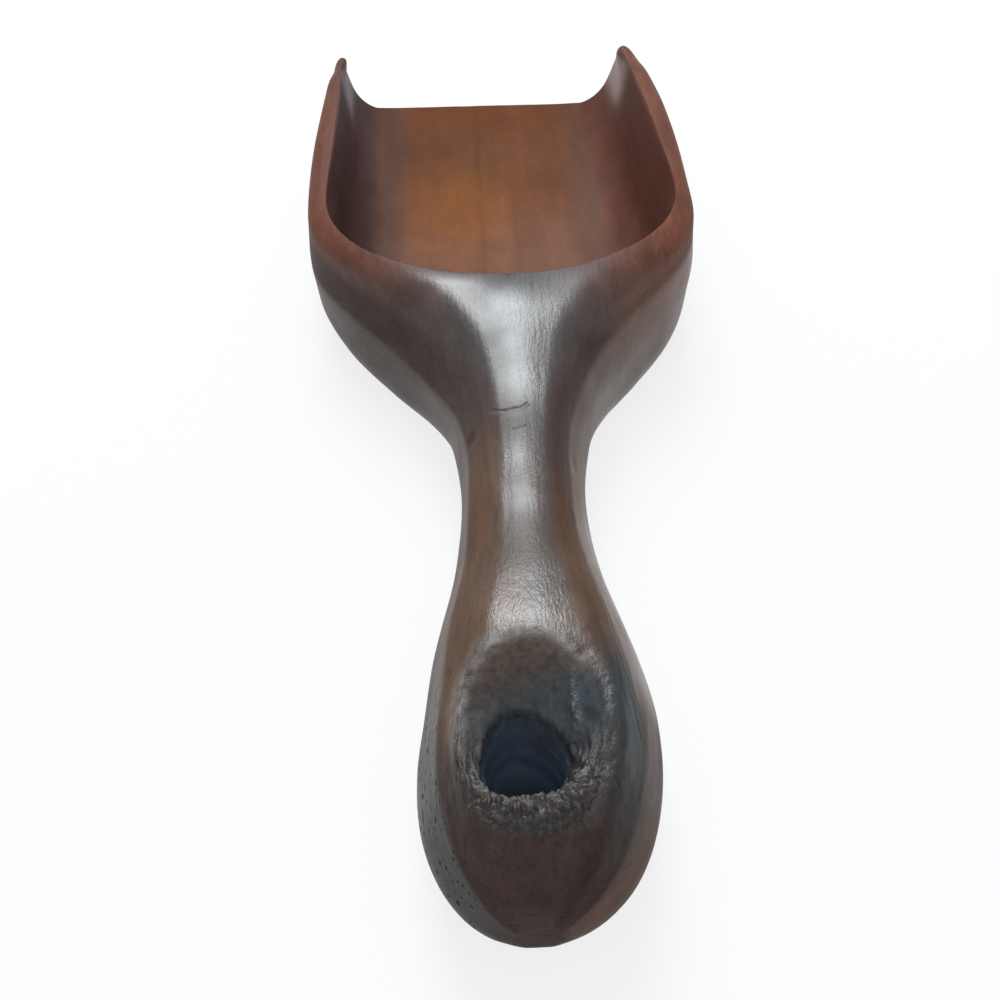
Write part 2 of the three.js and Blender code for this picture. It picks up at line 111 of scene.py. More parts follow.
def billet(station, turn):
    """A point on the uncarved billet. turn runs 0 to 10 round the section: 0 keel, 1 foot, 2 lower crease,
    3 upper crease, 4 arris, 5 spine, then back down the left side. Between whole numbers the facet is
    straight; within half a rounding of one it follows the parabola that touches both facets."""
    station, turn = np.broadcast_arrays(np.asarray(station, float), np.asarray(turn, float))
    g = np.where(turn > 5, 10 - turn, turn)
    side = np.where(turn > 5, -1.0, 1.0)

    def opened(run):
        """How far the knob's end has opened at the station: 0 at the very end, 1 past the run."""
        return (1 - (1 - np.clip(station / run, 0, 1)) ** END_POWER) ** (1 / END_POWER)

    widen, lift = opened(END_WIDTH_RUN), opened(END_HEIGHT_RUN)
    edges = (FOOT_EDGE, LOWER_CREASE, UPPER_CREASE, TOP_ARRIS)
    half = [np.zeros(station.shape)] + [along(rows, station, 1) * widen for rows in edges]
    half += [np.zeros(station.shape), -half[4]]
    height = [along(KEEL, station)] + [along(rows, station, 2) for rows in edges] + [along(SPINE, station)]
    height.append(height[4])
    half, height = np.array(half), EYE_HEIGHT + (np.array(height) - EYE_HEIGHT) * lift
    roundings = (KEEL_ROUNDING, FOOT_ROUNDING, LOWER_ROUNDING, UPPER_ROUNDING, ARRIS_ROUNDING, SPINE_ROUNDING)
    rounding = np.array([along(rows, station) for rows in roundings])
    corner = np.clip(np.rint(g).astype(int), 0, 5)[None]
    past = g - corner[0]
    r = np.take_along_axis(rounding, corner, 0)[0]
    t = np.clip(past / np.maximum(r, 1e-9) + 0.5, 0, 1)
    eased = np.abs(past) < r / 2
    back = np.where(eased, r / 2 * (1 - t) ** 2, np.maximum(-past, 0))
    ahead = np.where(eased, r / 2 * t**2, np.maximum(past, 0))

    def blend(values):
        """The corner's value, drawn towards the corners before and after it."""
        here = np.take_along_axis(values, corner, 0)[0]
        before = np.take_along_axis(values, np.maximum(corner - 1, 0), 0)[0]
        after = np.take_along_axis(values, corner + 1, 0)[0]
        return here + back * (before - here) + ahead * (after - here)

    return np.stack([along(SWAY, station) + side * blend(half), station, blend(height)], -1)


def bisect(short, low, high):
    """The value between low and high up to which short(value) holds, for whole arrays: halving 28 times."""
    low, high = np.array(low, float), np.array(high, float)
    for _ in range(28):
        middle = (low + high) / 2
        more = short(middle)
        low, high = np.where(more, middle, low), np.where(more, high, middle)
    return (low + high) / 2


# The bowl's hollow: a flat floor, filleted into walls that lean out, and a round back that slopes.
FLOOR, RIM = 5.0, 41.6
FILLET_WIDTH, FILLET_HEIGHT = 7.5, 13.0
WALL_LEAN, BACK_SLOPE, BACK_FILLET = 0.12, 0.55, 1.3
BACK_CENTRE, BACK_DEPTH = 194.0, 33.7
MOUTH_WIDTH = np.array([[BACK_CENTRE, 47.2], [215, 45.8], [240, 44.6], [275, 44.1], [LENGTH, 43.6]])
MOUTH_SWAY = np.array([[BACK_CENTRE, 0.3], [240, -0.6], [275, -2.3], [LENGTH, -2.6]])


def bowl_wall(station, swing, height, side):
    """A point on the bowl's inner wall at a height. Ahead of the back's centre the wall runs straight; behind
    it, swing from 0 to a quarter turn walks a half ellipse from the middle of the back to the side."""
    fillet = np.clip((FLOOR + FILLET_HEIGHT - height) / FILLET_HEIGHT, 0, 1)
    round_in = FILLET_WIDTH * (1 - np.sqrt(1 - fillet**2))
    inset = WALL_LEAN * (RIM - height) + round_in
    depth = BACK_DEPTH - BACK_SLOPE * (RIM - height) - BACK_FILLET * round_in
    x = along(MOUTH_SWAY, station) + side * (along(MOUTH_WIDTH, station) - inset) * np.sin(swing)
    y = np.maximum(station, BACK_CENTRE) - depth * np.cos(swing)
    return np.stack(np.broadcast_arrays(x, y, height), -1)


# The front is cut on a slope from the lip up to the horns, which curl over at their tips.
LIP_FACE, FRONT_SLOPE, HORN_CURVE = 4.0, 0.6, 25.0
LEAN_FROM = 232.0
t = np.linspace(0, 1, 60)
curl = [(LENGTH - FRONT_SLOPE * (HORN_CURVE - LIP_FACE), HORN_CURVE), (273, 36.6), (259, 40.6)]
curl_station, curl_height = [
    (1 - t) ** 2 * a + 2 * t * (1 - t) * b + t**2 * c for a, b, c in zip(*curl)]
FRONT_HEIGHTS = np.concatenate([[-1, LIP_FACE], curl_height, [50]])
FRONT_STATIONS = np.concatenate([[LENGTH, LENGTH], curl_station, [231]])


def front(height):
    """Station of the front cut at a height."""
    return np.interp(height, FRONT_HEIGHTS, FRONT_STATIONS)


def leaned(station, end):
    """Stations past LEAN_FROM are squeezed so that the last one lands on the column's own end."""
    share = np.maximum(station - LEAN_FROM, 0) / (LENGTH - LEAN_FROM)
    return np.where(station > LEAN_FROM, LEAN_FROM + share * (end - LEAN_FROM), station)


# Every grid line that runs along the scoop is cut by the same rings. The rings up to SPLIT_STATION close
# round the knob and neck. The later ones walk round the mouth from the middle of its back and on along its
# sides, so that the rim's inner edge is a grid line all the way.
END_RINGS, HANDLE_RINGS, BACK_RINGS, SIDE_RINGS = 26, 150, 56, 92
FACET_STEPS = (12, 16, 22, 22)
BAND_STEPS, WALL_STEPS, FILLET_STEPS, FLOOR_STEPS = 16, 26, 14, 32
SPLIT_STATION, BEND_FROM = 143.0, 100.0
RIM_SEARCH, HORN_SEARCH = (30.0, 48.0), (30.0, 40.5)

bunched = 1 - np.cos(np.linspace(0.1744, np.pi / 2, END_RINGS))
neck_arris = np.concatenate([
    END_WIDTH_RUN * bunched, np.linspace(END_WIDTH_RUN, SPLIT_STATION, HANDLE_RINGS + 1)[1:]])
swing = np.append(np.linspace(0, np.pi / 2, BACK_RINGS + 1), np.full(SIDE_RINGS, np.pi / 2))
side_share = 1 - (1 - np.linspace(0, 1, SIDE_RINGS + 1)[1:]) ** 1.4
nominal = np.append(np.full(BACK_RINGS + 1, BACK_CENTRE), BACK_CENTRE + (LENGTH - BACK_CENTRE) * side_share)
turns = np.concatenate([corner + np.arange(n) / n for corner, n in enumerate(FACET_STEPS)] + [[4.0]])
band = 1 - (1 - np.linspace(0, 1, BAND_STEPS + 1)) ** 1.25


def turn_at(x, station, low=3.0, high=7.0):
    """The turn at which the billet's upper surface passes over x at a station."""
    low, high = np.full(np.shape(x), low), np.full(np.shape(x), high)
    return bisect(lambda turn: billet(station, turn)[..., 0] > x, low, high)


def column_end(turn):
    """Station at which a column of the billet runs into the front cut."""
    low = np.full(np.shape(turn), LEAN_FROM)
    return bisect(lambda y: front(billet(y, turn)[..., 2]) > y, low, np.full(np.shape(turn), LENGTH))


def rim_edge(side):
    """The inner edge of the rim, where the bowl's wall comes up through the top of the billet: its points
    and their turns. It ends on the front cut."""
    def under(height, station, swung):
        """True where the wall at this height is still under the top of the billet."""
        wall = bowl_wall(station, swung, height, side)
        return billet(wall[..., 1], turn_at(wall[..., 0], wall[..., 1]))[..., 2] > height

    last = bisect(lambda z: under(z, front(z), np.pi / 2), *HORN_SEARCH)
    end = front(last)
    station = leaned(nominal, end)
    low, high = np.full(station.shape, RIM_SEARCH[0]), np.full(station.shape, RIM_SEARCH[1])
    height = bisect(lambda z: under(z, station, swing), low, high)
    wall = bowl_wall(station, swing, height, side)
    return wall, turn_at(wall[:, 0], wall[:, 1])


def arris_stations(edge):
    """Arris stations of the rings round the back of the mouth, paired with the rim's edge by arc length, and
    drawn a little back so that the lines across the rim are square to it."""
    fine = np.linspace(SPLIT_STATION, BACK_CENTRE, 400)
    run = np.append(0, np.cumsum(np.linalg.norm(np.diff(billet(fine, 4.0), axis=0), axis=1)))
    walked = np.append(0, np.cumsum(np.linalg.norm(np.diff(edge[:BACK_RINGS + 1], axis=0), axis=1)))
    back = np.interp((walked / walked[-1]) ** 1.25, run / run[-1], fine)
    return np.append(back, nominal[BACK_RINGS + 1:])


def over_top(arris, inner, reach):
    """Stations and turns of the lines over the top of the billet: straight in plan from each arris point to
    its inner point, except that the station may run ahead of the width."""
    x = arris[:, None, 0] + (inner[:, None, 0] - arris[:, None, 0]) * band
    station = arris[:, None, 1] + (inner[:, None, 1] - arris[:, None, 1]) * reach
    return station, turn_at(x, station)


def bowl_half(side, arris, edge, edge_turn):
    """One half of the bowl as a grid [ring, column]: keel, outside, arris, rim band, inner wall, fillet and
    floor, out to the middle line."""
    around = turns if side > 0 else 10 - turns
    outside = billet(leaned(arris[:, None], column_end(around)[None]), around[None])
    settled = np.clip(np.arange(BACK_RINGS + 1) / 24, 0, 1)[:, None]
    reach = settled * band + (1 - settled) * np.sin(band * np.pi / 2)
    back_station, back_turn = over_top(outside[:BACK_RINGS + 1, -1], edge[:BACK_RINGS + 1], reach)
    first = 5 - side
    side_turn = first + (edge_turn[BACK_RINGS + 1:, None] - first) * band
    side_station = leaned(arris[BACK_RINGS + 1:, None], column_end(side_turn[-1])[None])
    rim_band = billet(np.vstack([back_station, side_station]), np.vstack([back_turn, side_turn]))
    rim_band[:, -1] = edge
    lower = np.linspace(0, 1, WALL_STEPS + 1) ** 1.2
    top = edge[:, 2:3]
    wall_height = top + (FLOOR + FILLET_HEIGHT - top) * lower
    round_off = np.sin(np.linspace(0, np.pi / 2, FILLET_STEPS + 1)[1:])
    fillet_height = FLOOR + FILLET_HEIGHT * (1 - round_off)
    height = np.hstack([wall_height, np.broadcast_to(fillet_height, (len(nominal), FILLET_STEPS))])
    wall = bowl_wall(leaned(nominal[:, None], front(height[-1])[None]), swing[:, None], height, side)
    wall[:, 0] = edge
    foot = wall[:, -1]
    middle = foot.copy()
    middle[:, 0] = along(MOUTH_SWAY, foot[:, 1])
    share = np.linspace(0, 1, FLOOR_STEPS + 1)[1:, None]
    floor = foot[:, None] + (middle - foot)[:, None] * share
    grid = np.hstack([outside, rim_band[:, 1:], wall[:, 1:], floor])
    band_turn = np.vstack([back_turn, side_turn])[:, 1:]
    girth = np.full(grid.shape[:2], 5.0)
    girth[:, :len(turns)] = turns
    girth[:, len(turns):len(turns) + BAND_STEPS] = 5 - np.abs(band_turn - 5)
    return grid, girth


right_edge, left_edge = rim_edge(1), rim_edge(-1)
arris = arris_stations(right_edge[0])
(right, right_girth), (left, left_girth) = bowl_half(1, arris, *right_edge), bowl_half(-1, arris, *left_edge)
back_point = right_edge[0][0]


def handle():
    """Station and turn of every point of the knob and neck [ring, column]. The rings are flat below the
    arrises and bow forward over the top as they near the bowl, to meet the back of the mouth."""
    bend = np.clip((neck_arris - BEND_FROM) / (SPLIT_STATION - BEND_FROM), 0, 1)
    bend = bend * bend * (3 - 2 * bend)
    middle = billet(neck_arris + (back_point[1] - SPLIT_STATION) * bend, 5.0)
    middle[:, 0] += (back_point[0] - middle[:, 0]) * bend
    station, turn = [], []
    for first, around in ((4.0, turns), (6.0, 10 - turns)):
        top_station, top_turn = over_top(billet(neck_arris, first), middle, np.sin(band * np.pi / 2))
        outer = np.broadcast_to(neck_arris[:, None], (len(neck_arris), len(around)))
        station.append(np.hstack([outer, top_station[:, 1:]]))
        turn.append(np.hstack([np.broadcast_to(around, outer.shape), top_turn[:, 1:]]))
    station[1][:, -1], turn[1][:, -1] = station[0][:, -1], turn[0][:, -1]
    station = np.hstack([station[0], station[1][:, -2::-1]])
    turn = np.hstack([turn[0], turn[1][:, -2::-1]])
    return station, turn


station, turn = handle()
rings = billet(station, turn)

# The hollow in the top of the knob: a broad shallow dish, worn round, that falls into a deep blind hole.
# Round its middle [across, station] the dish's rim is a half ellipse behind on the right, and squarer ahead
# and behind on the left.
# The hole's rows are [height, half width, half length, middle across, middle station].
RIM_MIDDLE = np.array([-2.0, 33.0])
RIM_HALF_WIDTH, RIM_AHEAD, RIM_BEHIND = 14.4, 20.0, 18.2
RIM_POWER_AHEAD, RIM_POWER_BEHIND, RIM_POWER_LEFT = 2.3, 2.0, 2.8
HOLE = np.array([
    [14, 2.4, 2.8, -3.4, 27], [17, 5.8, 6.8, -3.4, 27], [24, 7.4, 8.6, -3.6, 26.8],
    [33, 8.0, 9.0, -3.7, 26.8], [38.8, 8.6, 9.7, -3.7, 26.7]])
DISH_FALL = 1.7
HOLLOW_LOBES, LOBE_DEPTH, LOBE_TURN = 3, 0.05, 0.6
APRON_STEPS, DISH_STEPS, HOLE_STEPS = 9, 30, 30
APRON_FROM, APRON_TO, APRON_COLUMNS = 5.0, 60.0, 14


def rim_loop(angle, half_width, behind):
    """The dish's rim in plan, or a curve like it of another size."""
    across, ahead = np.cos(angle), np.sin(angle)
    power = np.where(ahead > 0, RIM_POWER_AHEAD, np.where(across < 0, RIM_POWER_LEFT, RIM_POWER_BEHIND))
    reach = (np.abs(across) ** power + np.abs(ahead) ** power) ** (-1 / power)
    long = np.where(ahead > 0, RIM_AHEAD, behind)
    return np.stack([RIM_MIDDLE[0] + half_width * reach * across, RIM_MIDDLE[1] + long * reach * ahead], -1)


def hole_wall(height, angle):
    """A point on the hole's wall: an ellipse at each height, with three shallow lobes."""
    lobe = 1 + LOBE_DEPTH * np.cos(HOLLOW_LOBES * angle + LOBE_TURN)
    wide, long, x, y = [along(HOLE, height, column) for column in (1, 2, 3, 4)]
    return np.stack([x + wide * lobe * np.cos(angle), y + long * lobe * np.sin(angle), height], -1)


ring_from, ring_to = np.searchsorted(neck_arris, [APRON_FROM, APRON_TO])
column_from = len(turns) - 1 - APRON_COLUMNS
column_to = len(turns) - 1 + 2 * BAND_STEPS + APRON_COLUMNS
frame_rows = np.concatenate([
    np.full(column_to - column_from, ring_from), np.arange(ring_from, ring_to),
    np.full(column_to - column_from, ring_to), np.arange(ring_to, ring_from, -1)])
frame_columns = np.concatenate([
    np.arange(column_from, column_to), np.full(ring_to - ring_from, column_to),
    np.arange(column_to, column_from, -1), np.full(ring_to - ring_from, column_from)])
outline = rings[frame_rows, frame_columns]
from_middle = (outline[:, :2] - RIM_MIDDLE) / [RIM_HALF_WIDTH, RIM_BEHIND]
angle = np.arctan2(from_middle[:, 1], from_middle[:, 0])
lip = rim_loop(angle, RIM_HALF_WIDTH, RIM_BEHIND)
lip_turn = turn_at(lip[:, 0], lip[:, 1])
lip = billet(lip[:, 1], lip_turn)
inward = np.linspace(0, 1, APRON_STEPS + 1)[:, None]
apron_turn = turn[frame_rows, frame_columns] * (1 - inward) + lip_turn * inward
apron = billet(station[frame_rows, frame_columns] * (1 - inward) + lip[:, 1] * inward, apron_turn)
apron[-1] = lip
hole_edge = hole_wall(np.full(angle.shape, HOLE[-1, 0]), angle)
inward = np.linspace(0, 1, DISH_STEPS + 1)[:, None, None]
dish = lip + (hole_edge - lip) * inward
dish[:, :, 2] = lip[:, 2] + (hole_edge[:, 2] - lip[:, 2]) * inward[:, :, 0] ** DISH_FALL
down = np.linspace(0, 1, HOLE_STEPS + 1)[1:, None]
hole = hole_wall(HOLE[-1, 0] + (HOLE[0, 0] - HOLE[-1, 0]) * down + 0 * angle, angle[None])
well = np.vstack([dish, hole])

# The front face spans from the outside to the inside of each half, on the front cut.
FACE_STEPS, FACE_POWER = 14, 2.5


def front_face(half):
    """The front cut of one half: lines from each outside point to the inside point that faces it. Their
    heights fall early to the inner point's, as a power of the way across, and their stations follow."""
    last = half[-1]
    count = len(last) // 2 + 1
    across = np.linspace(0, 1, FACE_STEPS + 1)[None, :, None]
    face = last[:count, None] * (1 - across) + last[::-1][:count, None] * across
    rise = (last[:count] - last[::-1][:count])[:, None, 2] * (1 - across[..., 0]) ** FACE_POWER
    face[:, :, 2] = last[::-1][:count, None, 2] + rise
    face[:, 1:-1, 1] = front(face[:, 1:-1, 2])
    return face


def closing(ring, steps):
    """Rings that shrink from one ring to its middle."""
    share = np.linspace(0, 1, steps + 1)[:, None, None]
    return ring[None] * (1 - share) + ring.mean(0) * share


CAP_STEPS, BOTTOM_STEPS, CAP_TURN = 6, 4, 3.2
end_cap = closing(rings[0], CAP_STEPS)
well_bottom = closing(well[-1], BOTTOM_STEPS)


def grid_faces(shape, start, closed=False):
    """Quads of a grid whose points are numbered row by row from start; closed joins the last column."""
    rows, columns = shape
    number = start + np.arange(rows * columns).reshape(rows, columns)
    if closed:
        number = np.hstack([number, number[:, :1]])
    quads = [number[:-1, :-1], number[1:, :-1], number[1:, 1:], number[:-1, 1:]]
    return np.stack(quads, -1)


OUTSIDE, BOWL, WELL = 0.0, 1.0, 2.0
inside_bowl = np.arange(right.shape[1]) > len(turns) + BAND_STEPS
points, faces, place, girth, start = [], [], [], [], 0
for grid, closed, where, round_at in (
        (rings, True, OUTSIDE, 5 - np.abs(turn - 5)), (right, False, inside_bowl, right_girth),
        (left, False, inside_bowl, left_girth), (apron, True, OUTSIDE, 5 - np.abs(apron_turn - 5)),
        (well, True, WELL, 5.0), (well_bottom, True, WELL, 5.0),
        (front_face(right), False, OUTSIDE, CAP_TURN), (front_face(left), False, OUTSIDE, CAP_TURN),
        (end_cap, True, OUTSIDE, CAP_TURN)):
    quads = grid_faces(grid.shape[:2], start, closed)
    if grid is rings:
        keep = np.ones(quads.shape[:2], bool)
        keep[ring_from:ring_to, column_from:column_to] = False
        quads = quads[keep]
    points.append(grid.reshape(-1, 3))
    place.append(np.broadcast_to(where, grid.shape[:2]).astype(float).ravel())
    girth.append(np.broadcast_to(round_at, grid.shape[:2]).astype(float).ravel())
    faces.append(quads.reshape(-1, 4))
    start += len(points[-1])
points, faces = np.vstack(points), np.vstack(faces)
place, girth = np.concatenate(place), np.concatenate(girth)

# The grids are welded where they meet. Distances are metres from here on, measured from the scoop's middle.
WELD = 2e-6
mesh = bpy.data.meshes.new("carved_wood")
mesh.from_pydata(((points - [0, MID_STATION, 0]) * 0.001).tolist(), [], faces.tolist())
mesh.attributes.new("place", "FLOAT", "POINT").data.foreach_set("value", place)
mesh.attributes.new("girth", "FLOAT", "POINT").data.foreach_set("value", girth)
skin = bmesh.new()
skin.from_mesh(mesh)
bmesh.ops.remove_doubles(skin, verts=skin.verts, dist=WELD)
bmesh.ops.delete(skin, geom=[v for v in skin.verts if not v.link_faces], context="VERTS")
bmesh.ops.recalc_face_normals(skin, faces=skin.faces)
skin.to_mesh(mesh)
skin.free()


def read(data, name, width):
    """One property of every mesh element as an array."""
    values = np.empty(len(data) * width, np.int32 if name == "vertices" else np.float32)
    data.foreach_get(name, values)
    return values.reshape(-1, width) if width > 1 else values


edges = read(mesh.edges, "vertices", 2)
co = read(mesh.vertices, "co", 3).astype(float)
place = read(mesh.attributes["place"].data, "value", 1).astype(float)
girth = read(mesh.attributes["girth"].data, "value", 1).astype(float)
ends = np.concatenate([edges[:, 0], edges[:, 1]])
others = np.concatenate([edges[:, 1], edges[:, 0]])
degree = np.bincount(ends, minlength=len(co))


def neighbours(values):
    """The mean of a value over each vertex's neighbours."""
    if values.ndim == 1:
        return np.bincount(ends, values[others], len(co)) / degree
    return np.stack([np.bincount(ends, column[others], len(co)) / degree for column in values.T], 1)


def normals():
    """The vertex normals of the mesh as it stands."""
    mesh.vertices.foreach_set("co", co.astype(np.float32).ravel())
    mesh.update()
    return read(mesh.vertex_normals, "vector", 3).astype(float)


def soften(strength, rounds):
    """Moves each vertex this share of the way to the mean of its neighbours, round after round."""
    here = np.flatnonzero(strength > 0.001)
    row = np.zeros(len(co), int)
    row[here] = np.arange(len(here))
    kept = strength[ends] > 0.001
    start, end = row[ends[kept]], others[kept]
    count = np.bincount(start, minlength=len(here))
    for _ in range(rounds):
        mean = np.stack([np.bincount(start, co[end, axis], len(here)) / count for axis in range(3)], 1)
        co[here] += (mean - co[here]) * strength[here, None]


def ramp(value, start, end):
    """0 before start, 1 after end, eased between."""
    share = np.clip((value - start) / (end - start), 0, 1)
    return share * share * (3 - 2 * share)


def border(mask, rounds):
    """1 on the border of a mask, falling to 0 over as many vertices as there are rounds."""
    for _ in range(rounds):
        mask = neighbours(mask)
    return np.clip(mask * (1 - mask) * 4, 0, 1)


# Years of use have rounded every hard edge: a vertex moves towards its neighbours as far as its surface
# bends, which is told by the cosine between its normal and theirs.
FLAT_COSINE, BENT_BY, WEAR_GAIN, WEAR_SPREAD = 0.985, 0.06, 2.2, 4
WEAR_STRENGTH, WEAR_ROUNDS, UNWORN_BELOW = 0.55, 7, 0.034
facing = normals()
worn = np.clip((FLAT_COSINE - (facing[ends] * facing[others]).sum(1)) / BENT_BY, 0, 1)
worn = np.clip(np.bincount(ends, worn, len(co)) / degree * WEAR_GAIN, 0, 1)
for _ in range(WEAR_SPREAD):
    worn = np.maximum(worn, neighbours(worn))
worn[(place == WELL) & (co[:, 2] < UNWORN_BELOW)] = 0
soften(WEAR_STRENGTH * worn, WEAR_ROUNDS)

# Hands have worn the dish's upper rim and the bowl's rim broadly round, the bowl's less at the mouth's back.
THUMB_STRENGTH, THUMB_ROUNDS, THUMB_SPREAD = 0.6, 70, 6
THUMB_FROM, THUMB_ABOVE = (-0.124, 0.010), (0.0355, 0.002)
RIM_STRENGTH, RIM_ROUNDS, BACK_SHARE, RIM_SPREAD = 0.55, 45, 0.15, 5
in_well = (place == WELL).astype(float)
for _ in range(THUMB_SPREAD):
    in_well = neighbours(in_well)
thumbed = np.clip(in_well * (1 - in_well) * 5, 0, 1)
for axis, (start, span) in ((1, THUMB_FROM), (2, THUMB_ABOVE)):
    thumbed = thumbed * np.clip((co[:, axis] - start) / span, 0, 1)
soften(THUMB_STRENGTH * thumbed, THUMB_ROUNDS)
rim_edge = border((place == BOWL).astype(float), RIM_SPREAD) * ramp(co[:, 2], 0.014, 0.028)
sides = BACK_SHARE + (1 - BACK_SHARE) * ramp(co[:, 1], 0.018, 0.036)
soften(RIM_STRENGTH * rim_edge * sides, RIM_ROUNDS)

# The horns' tips are rounder still: softened, then swollen along their normals to a blunt bead.
TIP_REACH, TIP_STRENGTH, TIP_ROUNDS = [0.005, 0.008, 0.006], 0.6, 26
SWELL_REACH, SWELL_HEIGHTS, SWELL_STEPS = 0.0045, np.array([[0.0014], [0.0015]]), 4
SWELL_STRENGTH, SWELL_ROUNDS = 0.5, 5
tips = np.array([left_edge[0][-1], right_edge[0][-1]]) * 0.001 - [0, MID_STATION * 0.001, 0]
gaps = (co[None] - tips[:, None]) / TIP_REACH
tipped = np.clip(np.exp(-(gaps ** 2).sum(2)).sum(0) * 1.5, 0, 1)
soften(TIP_STRENGTH * tipped, TIP_ROUNDS)
swollen = np.exp(-(((co[None] - tips[:, None]) / SWELL_REACH) ** 2).sum(2)) * SWELL_HEIGHTS
for _ in range(SWELL_STEPS):
    co += normals() * swollen.sum(0)[:, None] / SWELL_STEPS
    soften(SWELL_STRENGTH * tipped, SWELL_ROUNDS)
# The lip is cut a little askew: further back on the right.
co[:, 1] -= (0.0004 + 0.0010 * ramp(co[:, 0], -0.03, 0.04)) * ramp(co[:, 1], 0.125, 0.142)


# Large odd numbers scramble a lattice point's place and the seed into a value.
HASH_STEPS, HASH_SEED, HASH_MASK = np.array([73856093, 19349663, 83492791]), 2654435761, 0x7FFFFFFF
HASH_FIRST, HASH_SECOND, HASH_TOP = 1274126177, 668265263, 32767.5


def speckle(at, size, seed):
    """Smooth noise from -1 to 1: values hashed from the lattice points of this size, eased between them."""
    q = at / size + 1000.0
    base = np.floor(q).astype(np.int64)
    part = q - base
    part = part * part * (3 - 2 * part)
    total = np.zeros(len(at))
    for corner in range(8):
        step = np.array([corner & 1, corner >> 1 & 1, corner >> 2 & 1])
        weight = np.where(step, part, 1 - part).prod(1)
        code = ((base + step) * HASH_STEPS).sum(1) + seed * HASH_SEED
        code = (code ^ code >> 13) * HASH_FIRST & HASH_MASK
        code = (code ^ code >> 11) * HASH_SECOND & HASH_MASK
        total += weight * ((code >> 8 & 0xFFFF) / HASH_TOP - 1)
    return total


def knobbly(size, seed):
    """Round knobs with sharp valleys between them, from -0.6 to 1.4."""
    return 2 * np.abs(speckle(co, size, seed)) - 0.6


def near(middle, reach):
    """1 at a point of the scoop, falling to 0 as a bell round it, with its own reach along x, y and z."""
    gap = (co - middle) / reach
    return np.exp(-(gap ** 2).sum(1))


def within(**runs):
    """1 where each coordinate named is inside its run, eased at the run's ends. A run of two is 0 at the
    first and 1 past the second. A run of four rises over its first two and falls over its last two."""
    share = 1.0
    for name, run in runs.items():
        value = {"x": co[:, 0], "y": co[:, 1], "z": co[:, 2], "girth": girth}[name]
        share = share * ramp(value, *run[:2])
        if len(run) == 4:
            share = share * ramp(value, run[3], run[2])
    return share


# The knife leaves the faces faintly uneven. The wood round the hollow is charred or gummed, so its lower lip
# is ragged and its right rim crumbly, with a thin ridge in the dish. The neck has a notch and a nick.
NOTCH = (-0.0106, -0.0309, 0.0305), (0.0016, 0.0016, 0.0028)
NICK = (0.0128, -0.040, 0.031), (0.0012, 0.0035, 0.0016)
LOWER_LIP = (-0.002, -0.122, 0.038), (0.016, 0.012, 0.012)
DISH_RIDGE = (0.0064, -0.110, 0.040), (0.0012, 0.008, 0.008)
grain = co / [1, 4, 1]
bowl = np.clip(neighbours((place == BOWL).astype(float)), 0, 1)
hollow = np.where(place == WELL, 1.0, 0.0)
for _ in range(3):
    bowl, hollow = neighbours(bowl), neighbours(hollow)
hollow_rim = np.clip(in_well * (1 - in_well) * 4, 0, 1)
ridge = near(*DISH_RIDGE) * hollow
crusty = hollow_rim * within(y=(-0.108, -0.118)) + 0.8 * near(*LOWER_LIP) * within(y=(-0.106, -0.118))
crusty = np.clip(crusty, 0, 1)
crusty = np.maximum(crusty, hollow * within(x=(0.001, 0.006), y=(-0.112, -0.120), z=(0.026, 0.034)))
crumbly = np.clip(0.8 * hollow_rim * within(x=(0.004, 0.010), y=(-0.096, -0.104)) + ridge, 0, 1)
push = (0.00012 * speckle(grain, 0.010, 1) + 0.00006 * speckle(grain, 0.0035, 2)) * (1 - 0.6 * bowl)
push += crusty * (0.00070 * knobbly(0.0023, 3) + 0.00042 * knobbly(0.0011, 4))
push += crumbly * 0.00035 * knobbly(0.0012, 7) + 0.0004 * ridge
push += hollow * 0.00022 * speckle(co, 0.0024, 15) * within(z=(0.028, 0.036))
push -= 0.0007 * near(*NOTCH) + 0.0003 * near(*NICK)
co += normals() * push[:, None]
low, high = np.array(cad_box[0]), np.array(cad_box[1])
co = np.clip(co, low, high)
facing = normals()
mesh.shade_smooth()

# The wood's colours: a dark purple-brown, browner on the neck and knob, redder on the rim, orange-brown
# on the bowl's floor, and stained blue-black in and beside the hollow. Mixed in are painted highlights,
# painted sheen and painted shade on the crest, the horns, the floor, the rims and the hole.
PURPLE_BROWN = np.array([0.069, 0.045, 0.040])
NECK_BROWN = np.array([0.112, 0.060, 0.036])
CREST_HIGHLIGHT_GREY = np.array([0.066, 0.060, 0.060])
FLANK_GREY = np.array([0.055, 0.053, 0.051])
RED_BROWN = np.array([0.160, 0.058, 0.036])
WALL_RED = np.array([0.142, 0.057, 0.041])
WALL_PURPLE = np.array([0.092, 0.052, 0.049])
HORN_WARMTH_AND_SHEEN = np.array([0.5, 0.3, 0.25])
FLOOR_BROWN = np.array([0.158, 0.060, 0.029])
FLOOR_RED = np.array([0.150, 0.048, 0.018])
FLOOR_PINK_AND_SHEEN = np.array([0.190, 0.088, 0.058])
FLOOR_ORANGE = np.array([0.210, 0.076, 0.023])
FLOOR_MARGIN_SHEEN = np.array([0.088, 0.049, 0.041])
END_BROWN = np.array([0.044, 0.026, 0.023])
BUTT_ORANGE = np.array([0.125, 0.068, 0.045])
DISH_BROWN = np.array([0.068, 0.048, 0.038])
DISH_PURPLE = np.array([0.184, 0.104, 0.098])
RING_HIGHLIGHT_TONE = np.array([0.230, 0.200, 0.182])
BLUE_STAIN = np.array([0.030, 0.038, 0.044])
LIFTED_NAVY_SHADE = np.array([0.085, 0.118, 0.160])
CRUST_BROWN = np.array([0.034, 0.027, 0.024])
ORANGE_PATCH = (-0.012, 0.090, 0.005), (0.016, 0.024, 0.02)
DARK_PATCH = (-0.020, 0.116, 0.005), (0.016, 0.013, 0.02)
SMEAR = (0.0155, -0.113, 0.041), (0.0055, 0.019, 0.012)
HOLE_SIDE = (0.0025, -0.1080, 0.041), (0.0085, 0.0070, 0.006)
